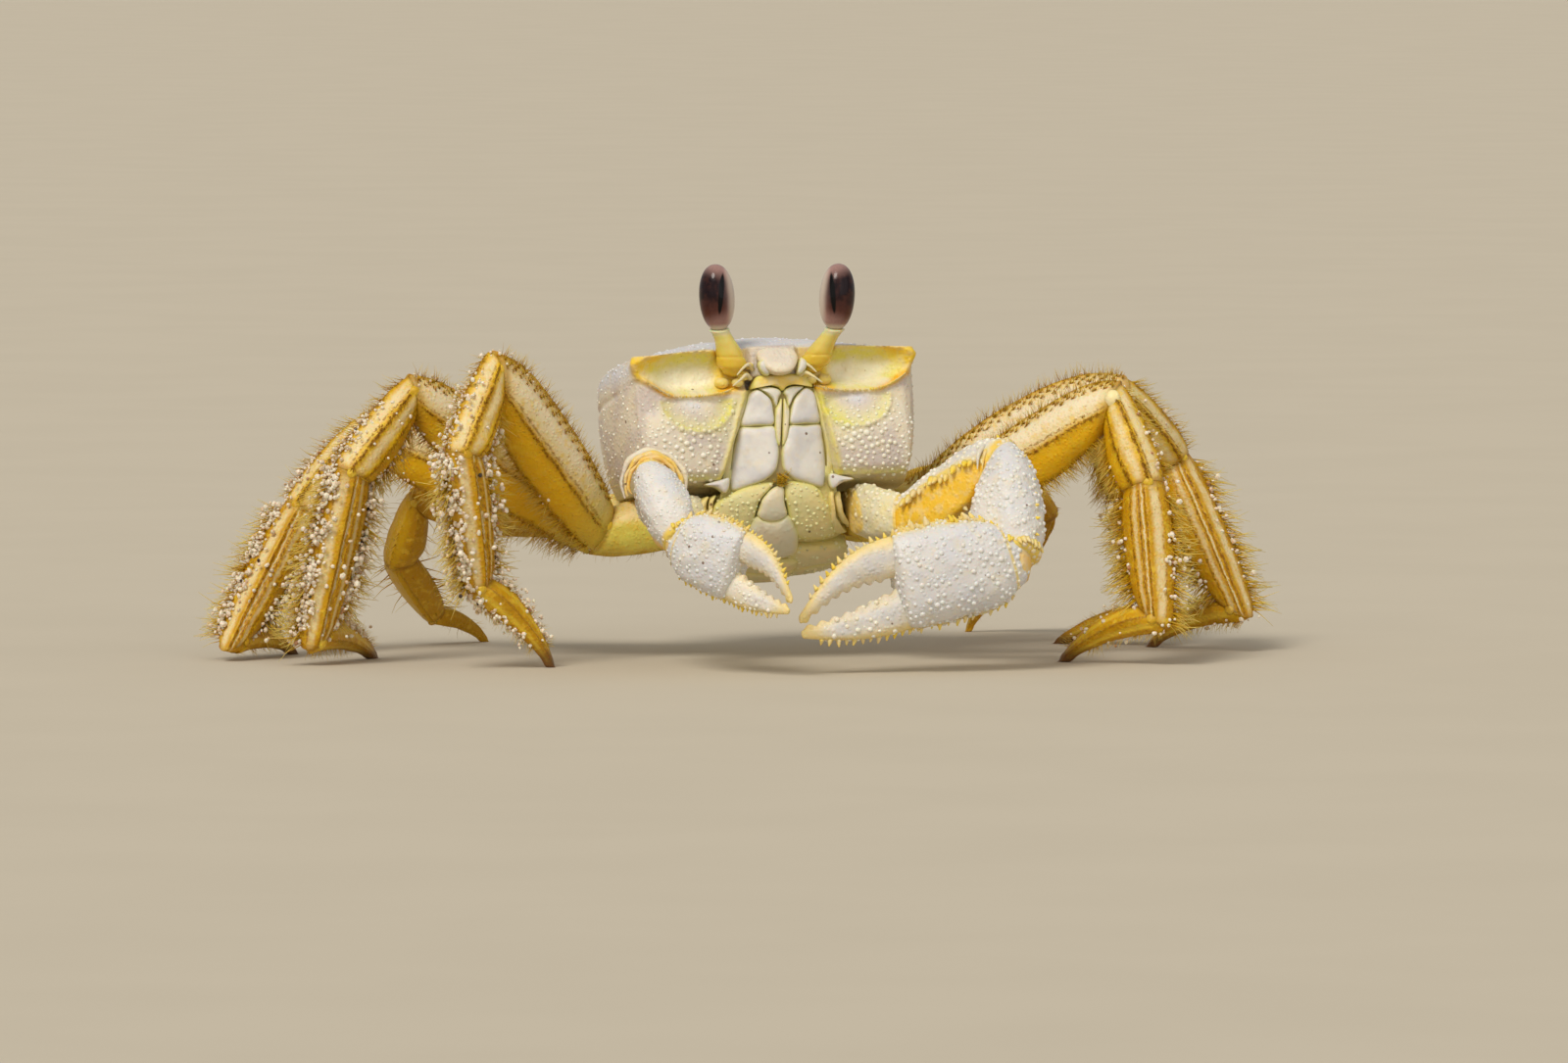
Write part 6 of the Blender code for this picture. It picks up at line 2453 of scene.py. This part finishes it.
def leg_finishes() -> dict[str, Material]:
    """Make the finishes of the walking legs' segments.

    Returns:
        The materials, by segment.
    """
    p = PALETTE
    finishes = {
        "base": LimbFinish("leg_base_shell", tint(232, 208, 92), (
            Band(45, 40, p.cream, 16, 0.6), Band(120, 40, p.lime, 16, 0.7), Band(225, 40, p.lime, 20, 0.4))),
        "merus": LimbFinish("leg_merus_shell", p.mustard, (
            Band(50, 40, p.cream, 9, 0.95), Band(44, 24, p.white, 12, 0.40),
            Band(132, 30, tint(226, 174, 2), 12, 0.95), Band(98, 3.0, p.brown, 2.2, 0.95, 0.6),
            Band(86, 3.0, p.brown, 2.0, 0.6, 1.0),
            Band(178, 13, p.brown, 8, 0.6, 0.5), Band(0, 7.5, p.brown, 5, 0.75, 0.8),
            Band(22, 9, p.mustard, 8, 0.5, 0.7), Band(318, 30, p.cream, 10, 0.6),
            Band(262, 3.0, p.brown, 2.0, 0.9, 0.6)), root_lime=0.6),
        "carpus": LimbFinish("leg_carpus_shell", p.mustard, (
            Band(34, 15, p.cream, 10, 0.95), Band(91, 12, p.cream, 9, 0.85), Band(64, 4.2, p.brown, 2.6, 0.95, 0.7),
            Band(50, 2.4, p.brown, 1.8, 0.7, 1.0), Band(118, 3.6, p.brown, 2.6, 0.9, 0.6),
            Band(2, 8, p.brown, 5, 0.75, 0.6), Band(150, 20, p.orange, 12, 0.35), Band(330, 17, p.cream, 7, 0.6),
            Band(296, 3.4, p.brown, 2.4, 0.85, 0.6), Band(262, 16, p.cream, 8, 0.4),
            Band(180, 12, p.brown, 8, 0.6, 0.5))),
        "propodus": LimbFinish("leg_propodus_shell", p.amber, (
            Band(47, 14, p.cream, 8, 0.90), Band(89, 13, p.amber, 5, 0.95), Band(89, 2.6, p.cream, 1.6, 0.95),
            Band(80, 2.0, p.brown, 1.4, 0.9, 0.6), Band(98, 2.0, p.brown, 1.4, 0.9, 0.6),
            Band(112, 5, p.cream, 4, 0.7), Band(124, 2.6, p.brown, 2.0, 0.8, 0.7),
            Band(30, 2.4, p.brown, 1.8, 0.6, 1.0),
            Band(2, 12, p.brown, 8, 0.8, 0.5), Band(178, 16, p.brown, 10, 0.75, 0.5),
            Band(232, 10, p.cream, 8, 0.45), Band(271, 12, p.amber, 5, 0.9), Band(318, 11, p.cream, 8, 0.55),
            Band(262, 2.0, p.brown, 1.4, 0.8, 0.6), Band(280, 2.0, p.brown, 1.4, 0.8, 0.6))),
        "dactyl": LimbFinish("leg_dactyl_shell", p.amber, (
            *(Band(at, 14, p.gold, 8, amount) for at, amount in ((45, 0.7), (135, 0.6), (225, 0.6), (315, 0.7))),
            *(Band(at, 5, p.brown, 3, 0.7, 0.5) for at in (0, 90, 180, 270))), tip_dark=0.35),
        "smooth": LimbFinish("last_leg_shell", p.amber, (
            Band(50, 40, p.mustard, 16, 0.8), Band(230, 60, p.olive, 20, 0.5), Band(0, 5, p.gold, 3, 0.5))),
        "skin": ShellFinish("joint_skin", p.gold, p.amber, relief_mm=0.12)}
    return {name: finish.make() for name, finish in finishes.items()}


def main() -> None:
    """Build the whole crab and its studio."""
    logging.basicConfig(level=logging.INFO, format="%(message)s")
    p = PALETTE
    shell = ShellFinish("carapace_white", tint(222, 210, 188), tint(202, 188, 178), edge_amount=0.12).make()
    pearl = ShellFinish("granule_pearl", p.pearl, p.white, 0.4, 0.02, tinting=0.6, gloss=0.25).make()
    claw_white = ShellFinish("claw_white", tint(226, 217, 200), tint(208, 204, 200), 0.7, 0.10, p.gold, 0.75).make()
    mouth_white = ShellFinish("mouth_white", tint(224, 219, 210), tint(206, 202, 200), 0.9, 0.04, p.lime, 0.7).make()
    sternum = ShellFinish("sternum_green", p.sternum, p.cream, 0.8, 0.06, p.lime, 0.55).make()
    horn = ShellFinish("spine_horn", p.gold, p.cream, relief_mm=0.03).make()
    sternal_pearl = ShellFinish("sternal_pearl", tint(236, 228, 184), p.sternum, relief_mm=0.02, gloss=0.25).make()
    granules = Scatter("shell_granules", pearl, Grain.GRANULE)
    sternal_granules = Scatter("sternal_granules", sternal_pearl, Grain.GRANULE)
    grains = Scatter("sand_grains", SandFinish().make(), Grain.SAND)
    spines = Plant("claw_spines", horn, Strand(8, 3, 0.46, 0.10, baked=False))
    setae = Plant("leg_setae", SetaFinish("setae", tint(220, 170, 8), tint(238, 208, 108)).make(),
                  Strand(3, 2, 0.024, 0.25))
    tufts = Plant("leg_tufts", SetaFinish("tufts", tint(196, 144, 0), tint(224, 182, 44)).make(),
                  Strand(3, 2, 0.085, 0.20))

    carapace = Carapace(shell, granules)
    carapace.build()
    BrowDetails(shell, spines, carapace).build()
    MouthField(mouth_white, tufts).build()
    underside = Underside(sternum, sternal_granules)
    underside.core()
    underside.abdomen()
    glaze, skin = CorneaFinish().make(), StalkFinish().make()
    for side, centre, lean in ((Side.RIGHT, (-7.75, -2.0, 50.5), 4.0), (Side.LEFT, (8.8, 0.5, 50.5), -4.0)):
        eye = Eye(side, centre, lean, glaze, skin)
        eye.cornea()
        eye.stalk()
    finishes = leg_finishes()
    smooth = finishes | dict.fromkeys(("merus", "carpus", "propodus", "dactyl"), finishes["smooth"])
    for leg in LegSet().legs():
        leg.build(smooth if leg.name == "leg_5" else finishes, setae, tufts, grains)
    Claw(Side.LEFT, ((18.2, -4.4, 20.2), (30.6, -10.2, 27.0), (32.8, -17.6, 15.8), (17.3, -21.4, 12.6),
                     (4.0, -23.9, 6.6)), 1.0).build(claw_white, spines, granules)
    Claw(Side.RIGHT, ((-14.8, -5.2, 20.6), (-16.4, -16.0, 25.8), (-12.6, -21.8, 18.4), (-4.8, -26.6, 15.2),
                      (2.2, -31.6, 10.0)), 0.77).build(claw_white, spines, granules)
    Studio().build()


if __name__ == "__main__":
    main()
